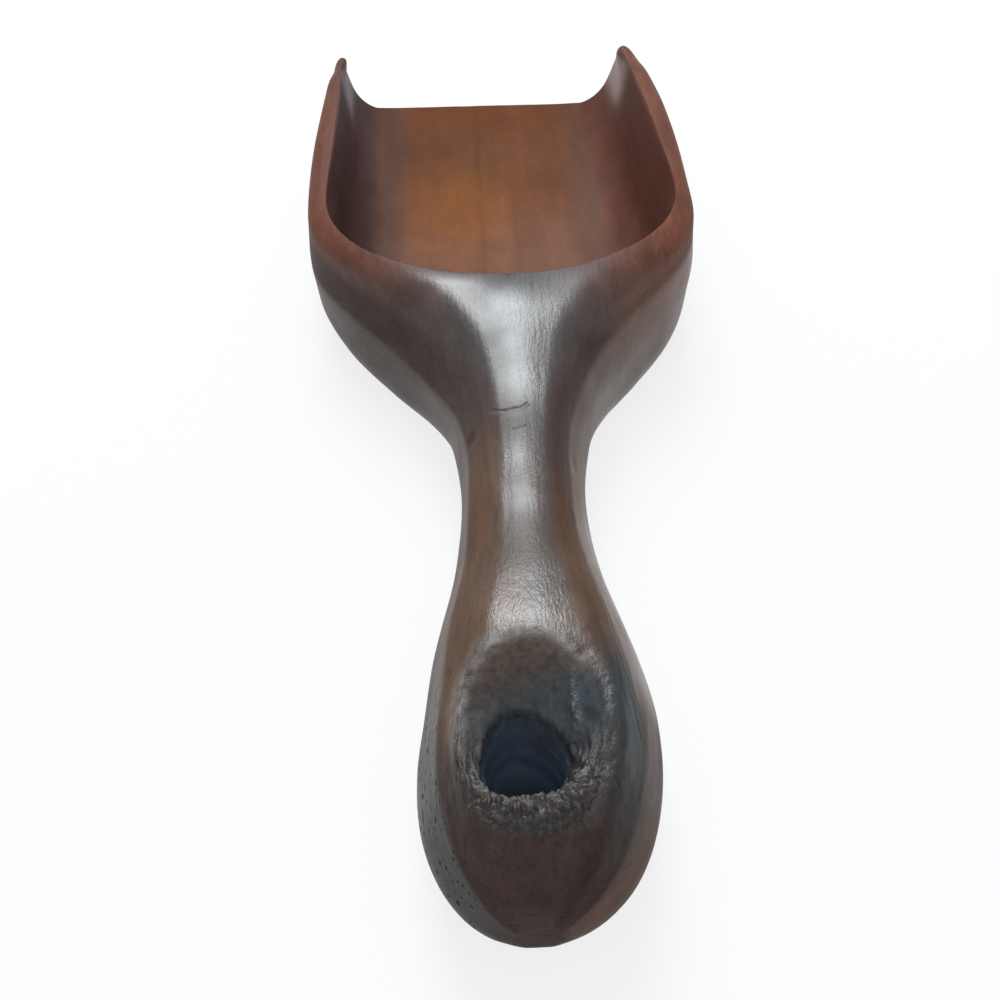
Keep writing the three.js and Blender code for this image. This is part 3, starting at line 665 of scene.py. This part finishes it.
HOLE_FLECK = (0.0, -0.1115, 0.030), (0.0028, 0.0030, 0.004)

tone = np.tile(PURPLE_BROWN, (len(co), 1))


def stain(colour, amount=1.0, **runs):
    """Mixes a colour into the wood by this amount, inside the runs."""
    tone[:] += (colour - tone) * (amount * within(**runs) * np.ones(len(co)))[:, None]


def lighten(amount, **runs):
    """Makes the wood lighter by this share, inside the runs, or darker where the amount is negative."""
    tone[:] *= 1 + (amount * within(**runs) * np.ones(len(co)))[:, None]


# The facets, from their place round the section: the top is broader near the bowl and on the left.
outside = (1 - bowl) * (1 - hollow)
flank = outside * within(girth=(3.07, 2.93))
broad = np.maximum(within(x=(0.001, -0.002)), within(y=(-0.028, -0.008)))
flare_from = np.where(co[:, 0] > 0, -0.007, -0.025)
flare = ramp(np.abs(co[:, 0] - 0.001), 0.002, 0.006) * ramp(co[:, 1], flare_from, 0.004)
broadened = 0.3 * broad + 0.3 * flare
top = outside * ramp(girth, 3.98 - broadened, 4.5 - 0.8 * broadened)
upper_facet = outside * (1 - flank) * (1 - top)
crown = np.exp(-((co[:, 0] - 0.001) / (0.008 + 0.016 * within(y=(-0.028, 0.006)))) ** 2)
blotch = speckle(grain, 0.009, 5) * 0.5 + speckle(grain, 0.003, 6) * 0.25
patchy = speckle(co, 0.016, 12) * 0.6 + speckle(co, 0.007, 13) * 0.4

# The neck, the knob and the shoulders.
stain(NECK_BROWN, y=(-0.124, -0.106, -0.050, -0.018), girth=(2.4, 2.9))
stain(PURPLE_BROWN, x=(0.002, 0.006), y=(-0.062, -0.036), girth=(3.3, 3.5))
stain(FLANK_GREY, 0.8 * flank, x=(-0.008, -0.014), y=(-0.090, -0.104))
stain(NECK_BROWN, 0.6 * outside, x=(0.0, 0.02), y=(-0.10, -0.02), girth=(3.55, 3.35))
stain(RED_BROWN, 0.9, y=(-0.01, 0.03), z=(0.030, 0.040))
stain(RED_BROWN * 1.1, 0.6 * outside, x=(0.015, 0.03), y=(-0.005, 0.015), girth=(2.6, 3.4))
# Grey down the middle of the top, under the crest's highlight: a painted highlight tint that cools the
# sheen's colour.
stain(CREST_HIGHLIGHT_GREY, (0.7 + 0.25 * within(y=(-0.02, 0.0))) * top * crown, y=(0.036, 0.022))

# The bowl: reddish walls, purple on the left, lighter and warmer on the horns' inner faces, and the floor,
# whose orange middle turns pink at the back, red at the lip and purple-grey along both walls. The horns'
# lightening, part of the pink and the purple-grey margins are painted sheen. The pith runs along the floor as
# a faint line.
stain(WALL_RED, bowl)
stain(WALL_PURPLE, bowl, x=(-0.018, -0.034))
# Lighter and warmer on the horns' inner faces: partly the wood's warmer colour, partly painted sheen where
# those faces catch the light.
tone *= 1 + (bowl * within(y=(0.110, 0.126), z=(0.014, 0.026)))[:, None] * HORN_WARMTH_AND_SHEEN
floor_part = bowl * ramp(facing[:, 2], 0.45, 0.95)
floor_part *= within(x=(-0.040, -0.032, 0.028, 0.036), z=(0.022, 0.008))
stain(FLOOR_BROWN, floor_part)
stain(FLOOR_RED, floor_part, y=(0.112, 0.142))
# Pink and lighter towards the back, where the floor rises: partly the wood's colour, partly painted sheen.
stain(FLOOR_PINK_AND_SHEEN, floor_part, y=(0.100, 0.066))
stain(FLOOR_ORANGE, floor_part * near(*ORANGE_PATCH))
lighten(-0.30 * floor_part * near(*DARK_PATCH))
lighten(0.12 * floor_part, x=(-0.006, 0.004), y=(0.106, 0.090))
# Darker purple-grey along the foot of both walls: painted sheen, the greyed colour of the fillets'
# reflection.
stain(FLOOR_MARGIN_SHEEN, floor_part * (0.8 * within(x=(-0.0235, -0.0345)) + 0.5 * within(x=(0.0190, 0.0310))))
pith = co[:, 0] + 0.0042 + 0.0000012 / np.maximum(0.16 - co[:, 1], 0.02)
lighten(-floor_part * (0.14 * np.exp(-(pith / 0.0009) ** 2) + 0.06 * ramp(pith, 0.0, 0.004)))

# The knob's end: dark above, orange-brown below on the right.
stain(END_BROWN, 0.9 - 0.45 * within(x=(-0.007, -0.014)), y=(-0.112, -0.126), girth=(2.9, 3.15))
butt = 1 - 0.3 * within(y=(-0.136, -0.124))
stain(BUTT_ORANGE, butt, x=(-0.008, 0.010), y=(-0.112, -0.130), girth=(3.05, 2.8))

# The hollow: a brown dish, blue-black on its right and down its sides, navy deep in the hole, a pale ring
# round the dish, and a dark smear on the wood beside it. The pale ring is a painted highlight on the worn
# rim, and the hole's navy and its lighter and darker depths are painted light and shade.
stain(DISH_BROWN, hollow)
stain(BLUE_STAIN, hollow, x=(0.0015, 0.006), y=(-0.098, -0.108))
smear = near(*SMEAR)
stain(BLUE_STAIN, np.clip(smear * 1.3, 0, 0.95) * (1 - hollow))
stain(BLUE_STAIN * 1.25, 0.75 * near(*HOLE_SIDE) * hollow * ramp(patchy + blotch, -0.9, 0.3))
stain(BLUE_STAIN * 1.5, 0.6 * hollow, z=(0.0420, 0.0392))
stain(BLUE_STAIN * 2.0, hollow, z=(0.0395, 0.0350))
far_wall = within(y=(-0.121, -0.113))
# Navy deep in the hole, made light enough to show through the hole's own shade: the lift is painted light.
stain(LIFTED_NAVY_SHADE, hollow * ramp(co[:, 2], 0.0395 - 0.004 * far_wall, 0.0350 - 0.005 * far_wall))
# Lighter on the hole's middle walls, darker deep down and just under the dish: painted light and painted
# shade down the hole.
lighten(0.9 * hollow, z=(0.015, 0.019, 0.035, 0.040))
lighten(-hollow * (0.45 * within(z=(0.021, 0.0145)) + 0.22 * within(z=(0.037, 0.030))))
rim_across = np.abs((co[:, 0] * 1000 - RIM_MIDDLE[0]) / RIM_HALF_WIDTH)
past_middle = co[:, 1] * 1000 + MID_STATION - RIM_MIDDLE[1]
rim_along = past_middle / np.where(past_middle > 0, RIM_AHEAD, RIM_BEHIND)
ring = np.exp(-((np.hypot(rim_across, rim_along) - 0.99) / 0.13) ** 2) * within(z=(0.030, 0.034))
ring *= (1 - within(x=(0.002, 0.008), y=(-0.098, -0.104))) * within(y=(-0.128, -0.118))
# The pale ring on the dish's raised, worn rim: painted highlight where the rounded rim catches the light.
stain(RING_HIGHLIGHT_TONE, 0.55 * ring * ramp(speckle(co, 0.0012, 21), -0.6, 0.5))
# Lighter down in the hole: painted light against its shade.
lighten(0.10 * hollow, z=(0.0412, 0.0378))
lighten(0.34 * hollow * speckle(co, 0.0007, 22), z=(0.030, 0.036))
stain(DISH_PURPLE, 0.5 * near(*HOLE_FLECK) * hollow)
stain(CRUST_BROWN, 0.8 * crusty)
# Lighter on the knob's crest, where its highlight falls: painted highlight.
lighten(0.3 * top * (1 - crusty), y=(-0.080, -0.088))
# Darker along the mouth's inner edge at its back: painted shade, the shadow line where the rim turns down
# into the bowl.
lighten(-0.5 * rim_edge * (1 - 0.5 * bowl), y=(0.035, 0.025))
lighten(0.30 * blotch + 0.12 * patchy)
colours = mesh.color_attributes.new("tone", "FLOAT_COLOR", "POINT")
colours.data.foreach_set("color", np.column_stack([tone, np.ones(len(co))]).astype(np.float32).ravel())

# Hands have polished the crest of the neck and knob, the low flanks, the horns' inner faces and the rims. The
# crest is dimmer beside the mouth's edge, by its distance from that in millimetres, and on the knob's end.
FLOOR_SHEEN = (0.0300, 0.090, 0.006), (0.006, 0.028, 0.012)
FOOT_SHEEN = (-0.0345, 0.085, 0.006), (0.004, 0.040, 0.010)
mouth_across = (co[:, 0] * 1000 - MOUTH_SWAY[0, 1]) / MOUTH_WIDTH[0, 1]
mouth_along = (co[:, 1] * 1000 + MID_STATION - BACK_CENTRE) / BACK_DEPTH
from_mouth = (np.hypot(mouth_across, mouth_along) - 1) * BACK_DEPTH
dimmed = ramp(from_mouth, 4.5 + 8.5 * within(x=(-0.010, 0.0)), 0.3) * ramp(from_mouth, -3, 0)
crest = top * (1 - 0.85 * within(y=(0.014, 0.036))) * (1 - 0.62 * dimmed)
crest *= 1 - 0.28 * within(x=(0.001, -0.004), y=(-0.045, -0.030, -0.008, 0.002))
low_right = outside * within(x=(0.004, 0.012), y=(-0.112, -0.098), girth=(3.55, 3.3))
horn = bowl * within(y=(0.106, 0.122), z=(0.012, 0.024))
polish = 0.05 * upper_facet + (0.42 - 0.22 * within(x=(0.004, 0.012), y=(-0.098, -0.110))) * flank
crest_polish = 0.94 - 0.22 * within(y=(-0.020, -0.036)) + 0.26 * within(y=(-0.072, -0.084)) + 0.3 * patchy
polish += crest * crest_polish
low_polish = 0.62 - 0.2 * within(y=(-0.010, -0.020)) + 0.3 * within(y=(-0.044, -0.060))
polish = np.maximum(polish, low_right * low_polish)
polish *= 1 - 0.9 * within(y=(-0.118, -0.134)) * (1 - 0.45 * within(x=(-0.008, -0.016)))
polish = np.maximum.reduce([
    polish, 0.16 * outside * within(y=(0.03, 0.06), z=(0.037, 0.040)),
    horn * (0.62 + 0.3 * within(x=(0, 0.01))), 0.05 * bowl,
    0.24 * bowl * near(*FLOOR_SHEEN), 0.10 * bowl * near(*FOOT_SHEEN), 0.4 * smear * outside,
    0.95 * hollow_rim * within(y=(-0.126, -0.116)), 0.10 * hollow, 0.7 * ring, 0.75 * crusty, 0.75 * crumbly])

# Where the wood is pitted, brushed by fine hair lines, scuffed across the neck, streaked by its grain, satin
# rather than glossy, or crumbly.
UPPER_SCUFF = (0.001, -0.043, 0.039), (0.007, 0.010, 0.010)
LOWER_SCUFF = (0.0037, -0.050, 0.0385), (0.003, 0.009, 0.006)
pitted = flank * within(x=(-0.012, -0.017), y=(-0.094, -0.104))
pitted = np.maximum(pitted, (0.12 + 0.25 * patchy) * within(y=(-0.116, -0.128)) * outside)
brushed = top * within(y=(-0.062, -0.078)) + hollow_rim + ring
scuffed = near(*UPPER_SCUFF) + near(*LOWER_SCUFF)
for name, values in (
        ("polish", polish), ("pitted", pitted), ("brushed", brushed), ("scuffed", scuffed),
        ("streaky", (1 - hollow) * (1 - 0.7 * bowl)), ("satin", bowl),
        ("crumbly", np.maximum(crusty, crumbly) + 0.3 * ring + 0.2 * hollow)):
    values = np.clip(values, 0, 1).astype(np.float32)
    mesh.attributes.new(name, "FLOAT", "POINT").data.foreach_set("value", values)

carved_wood = bpy.data.materials.new("oiled_dark_wood")
carved_wood.use_nodes = True
tree = carved_wood.node_tree
tree.nodes.clear()


def wire(tree, kind, inputs, **settings):
    """Adds a node. Its inputs are given by name or number: a socket is linked, a value is set."""
    made = tree.nodes.new(kind)
    for name, value in settings.items():
        setattr(made, name, value)
    for name, value in inputs.items():
        if isinstance(value, bpy.types.NodeSocket):
            tree.links.new(value, made.inputs[name])
        else:
            made.inputs[name].default_value = value
    return made


def math(tree, operation, *values, clamp=False):
    """One sum of two or three values."""
    inputs = dict(enumerate(values))
    return wire(tree, "ShaderNodeMath", inputs, operation=operation, use_clamp=clamp).outputs[0]


def noise(tree, at, scale, detail=3.0, roughness=0.55):
    """Noise round 0.5, with this many cells to the metre."""
    inputs = {"Vector": at, "Scale": scale, "Detail": detail, "Roughness": roughness}
    return wire(tree, "ShaderNodeTexNoise", inputs).outputs[0]


def spread(tree, value, low, high, start=0.0, end=1.0):
    """Value from low to high, mapped to start to end and held there beyond."""
    return wire(tree, "ShaderNodeMapRange", {"Value": value, 1: low, 2: high, 3: start, 4: end}).outputs[0]


def attribute(tree, name):
    """A value that the mesh carries at each vertex."""
    return wire(tree, "ShaderNodeAttribute", {}, attribute_name=name).outputs["Fac"]


def stretched(tree, at, scale):
    """Places scaled along x, y and z: a small scale draws a pattern out along that axis."""
    return wire(tree, "ShaderNodeMapping", {"Vector": at, "Scale": scale}).outputs[0]


def line_mark(tree, at, start, end, width):
    """1 on the straight line between two points, falling to 0 at this width beside it."""
    start, end = np.array(start), np.array(end)
    along_it = end - start
    from_start = wire(tree, "ShaderNodeVectorMath", {0: at, 1: tuple(start)}, operation="SUBTRACT").outputs[0]
    by_length = {0: from_start, 1: tuple(along_it / (along_it ** 2).sum())}
    share = wire(tree, "ShaderNodeVectorMath", by_length, operation="DOT_PRODUCT").outputs["Value"]
    share = math(tree, "ADD", share, 0.0, clamp=True)
    foot = {0: tuple(along_it), "Scale": share}
    foot = wire(tree, "ShaderNodeVectorMath", foot, operation="SCALE").outputs[0]
    gap = wire(tree, "ShaderNodeVectorMath", {0: from_start, 1: foot}, operation="DISTANCE").outputs["Value"]
    return spread(tree, gap, 0.0, width, 1.0, 0.0)


# The grain runs along the billet and wavers a little. Scales are cells to the metre.
WAVER_SCALE, WAVER = 160, (0.0025, 0.0025, 0.0025)
FINE_SCALE, BROAD_SCALE, MOTTLE_SCALE, PEBBLE_SCALE = 900, 220, 130, 950
HAIR_SCALE, SCUFF_SCALE, CRUMB_SCALE, PORE_SCALE = 1500, 1100, 1500, 1150
here = wire(tree, "ShaderNodeTexCoord", {}).outputs["Object"]
waver = wire(tree, "ShaderNodeTexNoise", {"Vector": here, "Scale": WAVER_SCALE, "Detail": 2}).outputs["Color"]
waver = wire(tree, "ShaderNodeVectorMath", {0: waver, 1: (0.5, 0.5, 0.5)}, operation="SUBTRACT").outputs[0]
wavering = {0: waver, 1: WAVER, 2: here}
wavering = wire(tree, "ShaderNodeVectorMath", wavering, operation="MULTIPLY_ADD").outputs[0]
names = ("polish", "pitted", "brushed", "scuffed", "streaky", "satin", "crumbly")
polish, pitted, brushed, scuffed, streaky, satin, crumbly = [attribute(tree, name) for name in names]
tone = wire(tree, "ShaderNodeVertexColor", {}, layer_name="tone").outputs["Color"]
along_grain = stretched(tree, wavering, (1, 0.07, 1))
fine_grain = noise(tree, along_grain, FINE_SCALE, 5, 0.6)
broad_grain = noise(tree, along_grain, BROAD_SCALE, 3, 0.5)
mottle = noise(tree, here, MOTTLE_SCALE, 6, 0.65)
pebble = noise(tree, here, PEBBLE_SCALE, 3, 0.6)
hair = noise(tree, stretched(tree, wavering, (1, 0.3, 1)), HAIR_SCALE, 4, 0.6)
scuffs = noise(tree, stretched(tree, wavering, (0.12, 1, 1)), SCUFF_SCALE, 3, 0.6)
crumb = noise(tree, here, CRUMB_SCALE, 4, 0.6)

# Pits: the darker, open pores of the flank, longer than wide. Each cell draws its own size.
pores = {"Vector": stretched(tree, wavering, (1, 0.5, 0.8)), "Scale": PORE_SCALE, "Randomness": 1.0}
pores = wire(tree, "ShaderNodeTexVoronoi", pores, feature="F1")
draw = wire(tree, "ShaderNodeSeparateColor", {"Color": pores.outputs["Color"]}).outputs[0]
pore_size = spread(tree, draw, 0.25, 1.0, 0.05, 0.60)
pit = math(tree, "SUBTRACT", pore_size, pores.outputs["Distance"])
pit = math(tree, "MULTIPLY", pit, 3.6, clamp=True)
pit = math(tree, "MULTIPLY", pit, spread(tree, pitted, 0.0, 0.6))

# Scratches and cracks, each between two points: dark cuts first, then light scores.
# They are laid out in plan: a mark's height counts only for little, so that it lies on the surface.
MARK_FLATTENED, MARK_LEVEL = 0.04, 0.0015
CUTS = [
    [(-0.0056, -0.0280), (-0.0032, -0.0289), 0.0004],
    [(-0.0032, -0.0289), (0.0004, -0.0284), 0.0004],
    [(0.0004, -0.0284), (0.0026, -0.0272), 0.0004],
    [(0.0141, -0.0824), (0.0186, -0.1146), 0.0006],
    [(0.0116, -0.0680), (0.0156, -0.0930), 0.0005],
    [(0.0104, -0.0560), (0.0128, -0.0700), 0.0004],
    [(-0.0150, -0.0870), (-0.0172, -0.0990), 0.0004]]
SCORES = [
    [(0.0126, -0.0720), (0.0176, -0.1020), 0.0006],
    [(0.0152, -0.0800), (0.0198, -0.1090), 0.0006],
    [(0.0136, -0.0900), (0.0164, -0.1130), 0.0005],
    [(0.0112, -0.0600), (0.0148, -0.0860), 0.0004],
    [(-0.0064, -0.0287), (-0.0032, -0.0299), 0.0006],
    [(-0.0032, -0.0299), (0.0028, -0.0281), 0.0006],
    [(-0.0014, -0.0352), (0.0018, -0.0346), 0.0004]]
on_plan = stretched(tree, wavering, (1, 1, MARK_FLATTENED))


def marks(tree, rows):
    """The strongest of the marks in the rows, each given by its start, end and width."""
    strongest = 0.0
    for start, end, width in rows:
        mark = line_mark(tree, on_plan, (*start, MARK_LEVEL), (*end, MARK_LEVEL), width)
        strongest = math(tree, "MAXIMUM", strongest, mark)
    return strongest


cut = math(tree, "MULTIPLY", marks(tree, CUTS), spread(tree, mottle, 0.35, 0.55, 0.2, 1.0))
score = marks(tree, SCORES)

# The grain, pores and marks shade the painted tone, and the same layers raise or sink the bump.
shade = spread(tree, broad_grain, 0.3, 0.7, -0.11, 0.11)
shade = math(tree, "ADD", spread(tree, fine_grain, 0.3, 0.7, -0.17, 0.17), shade)
shade = math(tree, "MULTIPLY_ADD", shade, streaky, 1.0)
for layer, low_end, high_end, least, most in (
        (mottle, 0.3, 0.7, 0.88, 1.12), (pit, 0.0, 1.0, 1.0, 0.32), (cut, 0.0, 1.0, 1.0, 0.6),
        (score, 0.0, 1.0, 1.0, 1.5)):
    shade = math(tree, "MULTIPLY", shade, spread(tree, layer, low_end, high_end, least, most))
colour = wire(tree, "ShaderNodeVectorMath", {0: tone, "Scale": shade}, operation="SCALE").outputs[0]
height = 0.0
for layer, weight in (
        (math(tree, "MULTIPLY", fine_grain, streaky), 0.5), (mottle, 0.5),
        (math(tree, "MULTIPLY", scuffs, scuffed), 0.9), (pebble, 0.22),
        (math(tree, "MULTIPLY", crumb, crumbly), 2.2), (math(tree, "MULTIPLY", hair, brushed), 0.8),
        (pit, -1.6), (cut, -0.9), (score, 0.5)):
    height = math(tree, "MULTIPLY_ADD", layer, weight, height)
bump = wire(tree, "ShaderNodeBump", {"Strength": 0.4, "Distance": 0.0004, "Height": height}).outputs[0]
rough = spread(tree, mottle, 0.3, 0.7, -0.06, 0.06)
rough = math(tree, "ADD", spread(tree, polish, 0.0, 1.0, 0.55, 0.30), rough)
rough = math(tree, "MULTIPLY_ADD", satin, 0.18, rough)
gloss = spread(tree, pit, 0.0, 1.0, 1.0, 0.1)
gloss = math(tree, "MULTIPLY", spread(tree, polish, 0.0, 1.0, 0.07, 0.62), gloss)
coat = math(tree, "MULTIPLY", math(tree, "POWER", polish, 2.0), 0.35)
surface = wire(tree, "ShaderNodeBsdfPrincipled", {
    "Base Color": colour, "Roughness": rough, "Normal": bump, "Specular IOR Level": gloss,
    "Coat Weight": coat, "Coat Roughness": 0.34, "Coat Normal": bump})
wire(tree, "ShaderNodeOutputMaterial", {"Surface": surface.outputs[0]})
mesh.materials.append(carved_wood)

carved = bpy.data.objects.new("carved_wood", mesh)
bpy.context.scene.collection.objects.link(carved)
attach(carved, "root")
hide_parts("carved_scoop")


# The crust: a bead of old gum or char along the hollow's lower lip, dark, glossy and lumpy. It isn't wood and
# wasn't shaped: it has dried in lumps where it stuck, and its two ends sink away into the wood.
# Its track is a curve like the dish's rim, from one angle to another round it (degrees from the right).
CRUST_ACROSS, CRUST_BEHIND, CRUST_FROM, CRUST_TO = 13.9, 18.4, 196, 350
CRUST_STEPS, CRUST_SIDES = 600, 52
SUNK_MIDDLE, SUNK_ENDS, SUNK_POWER, SWELL_POWER = 0.4, 2.2, 1.5, 0.9
WIDE_ENDS, WIDE_SWELL, TALL_ENDS, TALL_SWELL = 0.6, 2.8, 0.5, 0.45
LUMP_SIZE, LUMP_HEIGHT, BEAD_SIZE, BEAD_HEIGHT, LUMP_BASE = 0.0018, 0.0010, 0.0009, 0.0007, 0.0004
share = np.linspace(0, 1, CRUST_STEPS)
spin = np.linspace(0, 2 * np.pi, CRUST_SIDES, endpoint=False)[None, :, None]


def on_top(plan):
    """The billet's surface at places in plan."""
    return billet(plan[:, 1], turn_at(plan[:, 0], plan[:, 1]))


# The bead is an ellipse carried along the track, tilted with the billet's surface, and swollen by noise.
track = rim_loop(np.radians(CRUST_FROM + (CRUST_TO - CRUST_FROM) * share), CRUST_ACROSS, CRUST_BEHIND)
forward = np.gradient(track, axis=0)
outward = np.stack([forward[:, 1], -forward[:, 0]], -1) / np.linalg.norm(forward, axis=1)[:, None]
slope = (on_top(track + outward) - on_top(track - outward))[:, 2:] / 2
across = np.hstack([outward, slope]) / np.hypot(1, slope)
upward = np.hstack([-outward * slope, 1 + 0 * slope]) / np.hypot(1, slope)
swell = (np.sin(np.pi * share) ** SWELL_POWER)[:, None, None]
sunk = SUNK_MIDDLE + SUNK_ENDS * (1 - swell[:, 0]) ** SUNK_POWER
reach = (WIDE_ENDS + WIDE_SWELL * swell) * np.cos(spin) * across[:, None]
reach = reach + (TALL_ENDS + TALL_SWELL * swell) * np.sin(spin) * upward[:, None]
bead = (((on_top(track) - sunk * upward)[:, None] + reach).reshape(-1, 3) - [0, MID_STATION, 0]) * 0.001
away = reach.reshape(-1, 3) / np.linalg.norm(reach.reshape(-1, 3), axis=1)[:, None]
lump = LUMP_HEIGHT * np.abs(speckle(bead, LUMP_SIZE, 8)) + BEAD_HEIGHT * np.abs(speckle(bead, BEAD_SIZE, 9))
lump = (lump - LUMP_BASE) * np.broadcast_to(swell[..., 0], (CRUST_STEPS, CRUST_SIDES)).ravel()
bead += away * lump[:, None]
bead[:, 2] = np.minimum(bead[:, 2], high[2])
tips = bead.reshape(CRUST_STEPS, CRUST_SIDES, 3)[[0, -1]].mean(1)
quads = grid_faces((CRUST_STEPS, CRUST_SIDES), 0, True).reshape(-1, 4).tolist()
first, last = np.arange(CRUST_SIDES), np.arange(CRUST_SIDES) + (CRUST_STEPS - 1) * CRUST_SIDES
quads += np.stack([first, np.roll(first, -1), np.full(CRUST_SIDES, len(bead))], 1).tolist()
quads += np.stack([np.roll(last, -1), last, np.full(CRUST_SIDES, len(bead) + 1)], 1).tolist()
crust_mesh = bpy.data.meshes.new("crust_bead")
crust_mesh.from_pydata(np.vstack([bead, tips]).tolist(), [], quads)
skin = bmesh.new()
skin.from_mesh(crust_mesh)
bmesh.ops.recalc_face_normals(skin, faces=skin.faces)
skin.to_mesh(crust_mesh)
skin.free()
crust_mesh.shade_smooth()

CRUST_DARK, CRUST_PALE = (0.017, 0.014, 0.013, 1), (0.062, 0.049, 0.044, 1)
crust_material = bpy.data.materials.new("glossy_crust")
crust_material.use_nodes = True
tree = crust_material.node_tree
tree.nodes.clear()
here = wire(tree, "ShaderNodeTexCoord", {}).outputs["Object"]
mottle = noise(tree, here, 900, 6, 0.6)
colour = wire(tree, "ShaderNodeValToRGB", {"Fac": mottle})
for stop, at, shown in zip(colour.color_ramp.elements, (0.35, 0.7), (CRUST_DARK, CRUST_PALE)):
    stop.position, stop.color = at, shown
bump = wire(tree, "ShaderNodeBump", {"Strength": 0.8, "Distance": 0.0004, "Height": mottle}).outputs[0]
surface = {"Base Color": colour.outputs[0], "Roughness": 0.24, "Normal": bump}
surface = wire(tree, "ShaderNodeBsdfPrincipled", surface)
wire(tree, "ShaderNodeOutputMaterial", {"Surface": surface.outputs[0]})
crust_mesh.materials.append(crust_material)
crust = bpy.data.objects.new("crust_bead", crust_mesh)
bpy.context.scene.collection.objects.link(crust)
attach(crust, "root")
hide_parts("hollow_crust")


# The studio: a pale table that reaches past the picture, one broad soft lamp beyond the bowl, and even fill.
# The table is white where the camera or a reflection sees it, and matt under the lamps. The air is white to
# the camera, and lights the scoop dimly.
TABLE_REACH, TABLE_LEVEL = 9, -0.0002
around = ((-1, -1), (1, -1), (1, 1), (-1, 1))
table_corners = [(x * TABLE_REACH, y * TABLE_REACH, TABLE_LEVEL) for x, y in around]
table_mesh = bpy.data.meshes.new("table_top")
table_mesh.from_pydata(table_corners, [], [(0, 1, 2, 3)])
table_top = bpy.data.objects.new("table_top", table_mesh)
bpy.context.scene.collection.objects.link(table_top)
paper = bpy.data.materials.new("white_paper")
paper.use_nodes = True
tree = paper.node_tree
tree.nodes.clear()
matt = wire(tree, "ShaderNodeBsdfDiffuse", {"Color": (0.88, 0.88, 0.88, 1)}).outputs[0]
bright = wire(tree, "ShaderNodeEmission", {"Strength": 1.0}).outputs[0]
ray = wire(tree, "ShaderNodeLightPath", {})
seen = math(tree, "MAXIMUM", ray.outputs["Is Camera Ray"], ray.outputs["Is Glossy Ray"])
seen = math(tree, "MAXIMUM", seen, ray.outputs["Is Transmission Ray"])
paper_white = wire(tree, "ShaderNodeMixShader", {0: math(tree, "MULTIPLY", seen, 0.8), 1: matt, 2: bright})
wire(tree, "ShaderNodeOutputMaterial", {"Surface": paper_white.outputs[0]})
table_mesh.materials.append(paper)

world = bpy.data.worlds.new("studio_air")
bpy.context.scene.world = world
world.use_nodes = True
air = world.node_tree.nodes["Background"]
air.inputs["Color"].default_value = (0.95, 0.97, 1.0, 1)
sky_ray = wire(world.node_tree, "ShaderNodeLightPath", {}).outputs["Is Camera Ray"]
sky_strength = spread(world.node_tree, sky_ray, 0.0, 1.0, 0.34, 1.0)
world.node_tree.links.new(sky_strength, air.inputs["Strength"])


def soft_lamp(name, azimuth, elevation, distance, width, height, power):
    """A rectangular lamp round the scoop, aimed at it. Azimuth 0 is beyond the bowl, 90 to the right."""
    a, e = np.radians([azimuth, elevation])
    away = np.array([np.sin(a) * np.cos(e), np.cos(a) * np.cos(e), np.sin(e)])
    sideways = np.array([np.cos(a), -np.sin(a), 0.0])
    lamp = bpy.data.lights.new(name, "AREA")
    lamp.shape, lamp.size, lamp.size_y, lamp.energy = "RECTANGLE", width, height, power
    lamp.color = (0.93, 0.98, 1.0)
    held = bpy.data.objects.new(name, lamp)
    turn = np.eye(4)
    turn[:3] = np.stack([sideways, np.cross(away, sideways), away, away * distance], 1)
    held.matrix_world = Matrix(turn.tolist())
    held.visible_camera = False
    bpy.context.scene.collection.objects.link(held)


soft_lamp("tall_lamp", -6, 54, 1.4, 0.62, 0.84, 17.0)
soft_lamp("near_fill", 180, 70, 1.6, 1.0, 1.0, 5.0)

# The camera stands over the knob's end and looks down along the handle. Its place and angles are the ones at
# which the scoop's outline lies over the photograph's.
YAW, PITCH, ROLL = np.radians([2.28, 51.0, -0.69])
CAMERA_PLACE, LENS, SENSOR = (-0.01198, -0.22721, 0.25031), 45.0, 36.0
camera_data = bpy.data.cameras.new("photograph")
camera_data.lens, camera_data.sensor_width, camera_data.clip_start = LENS, SENSOR, 0.01
look = np.array([np.sin(YAW) * np.cos(PITCH), np.cos(YAW) * np.cos(PITCH), -np.sin(PITCH)])
level = np.array([np.cos(YAW), -np.sin(YAW), 0.0])
upright = np.cross(level, look)
stand = np.eye(4)
stand[:3, 0] = np.cos(ROLL) * level + np.sin(ROLL) * upright
stand[:3, 1] = np.cos(ROLL) * upright - np.sin(ROLL) * level
stand[:3, 2] = -look
stand[:3, 3] = CAMERA_PLACE
camera = bpy.data.objects.new("photograph", camera_data)
camera.matrix_world = Matrix(stand.tolist())
bpy.context.scene.collection.objects.link(camera)
bpy.context.scene.camera = camera
bpy.context.scene.view_settings.view_transform = "Standard"
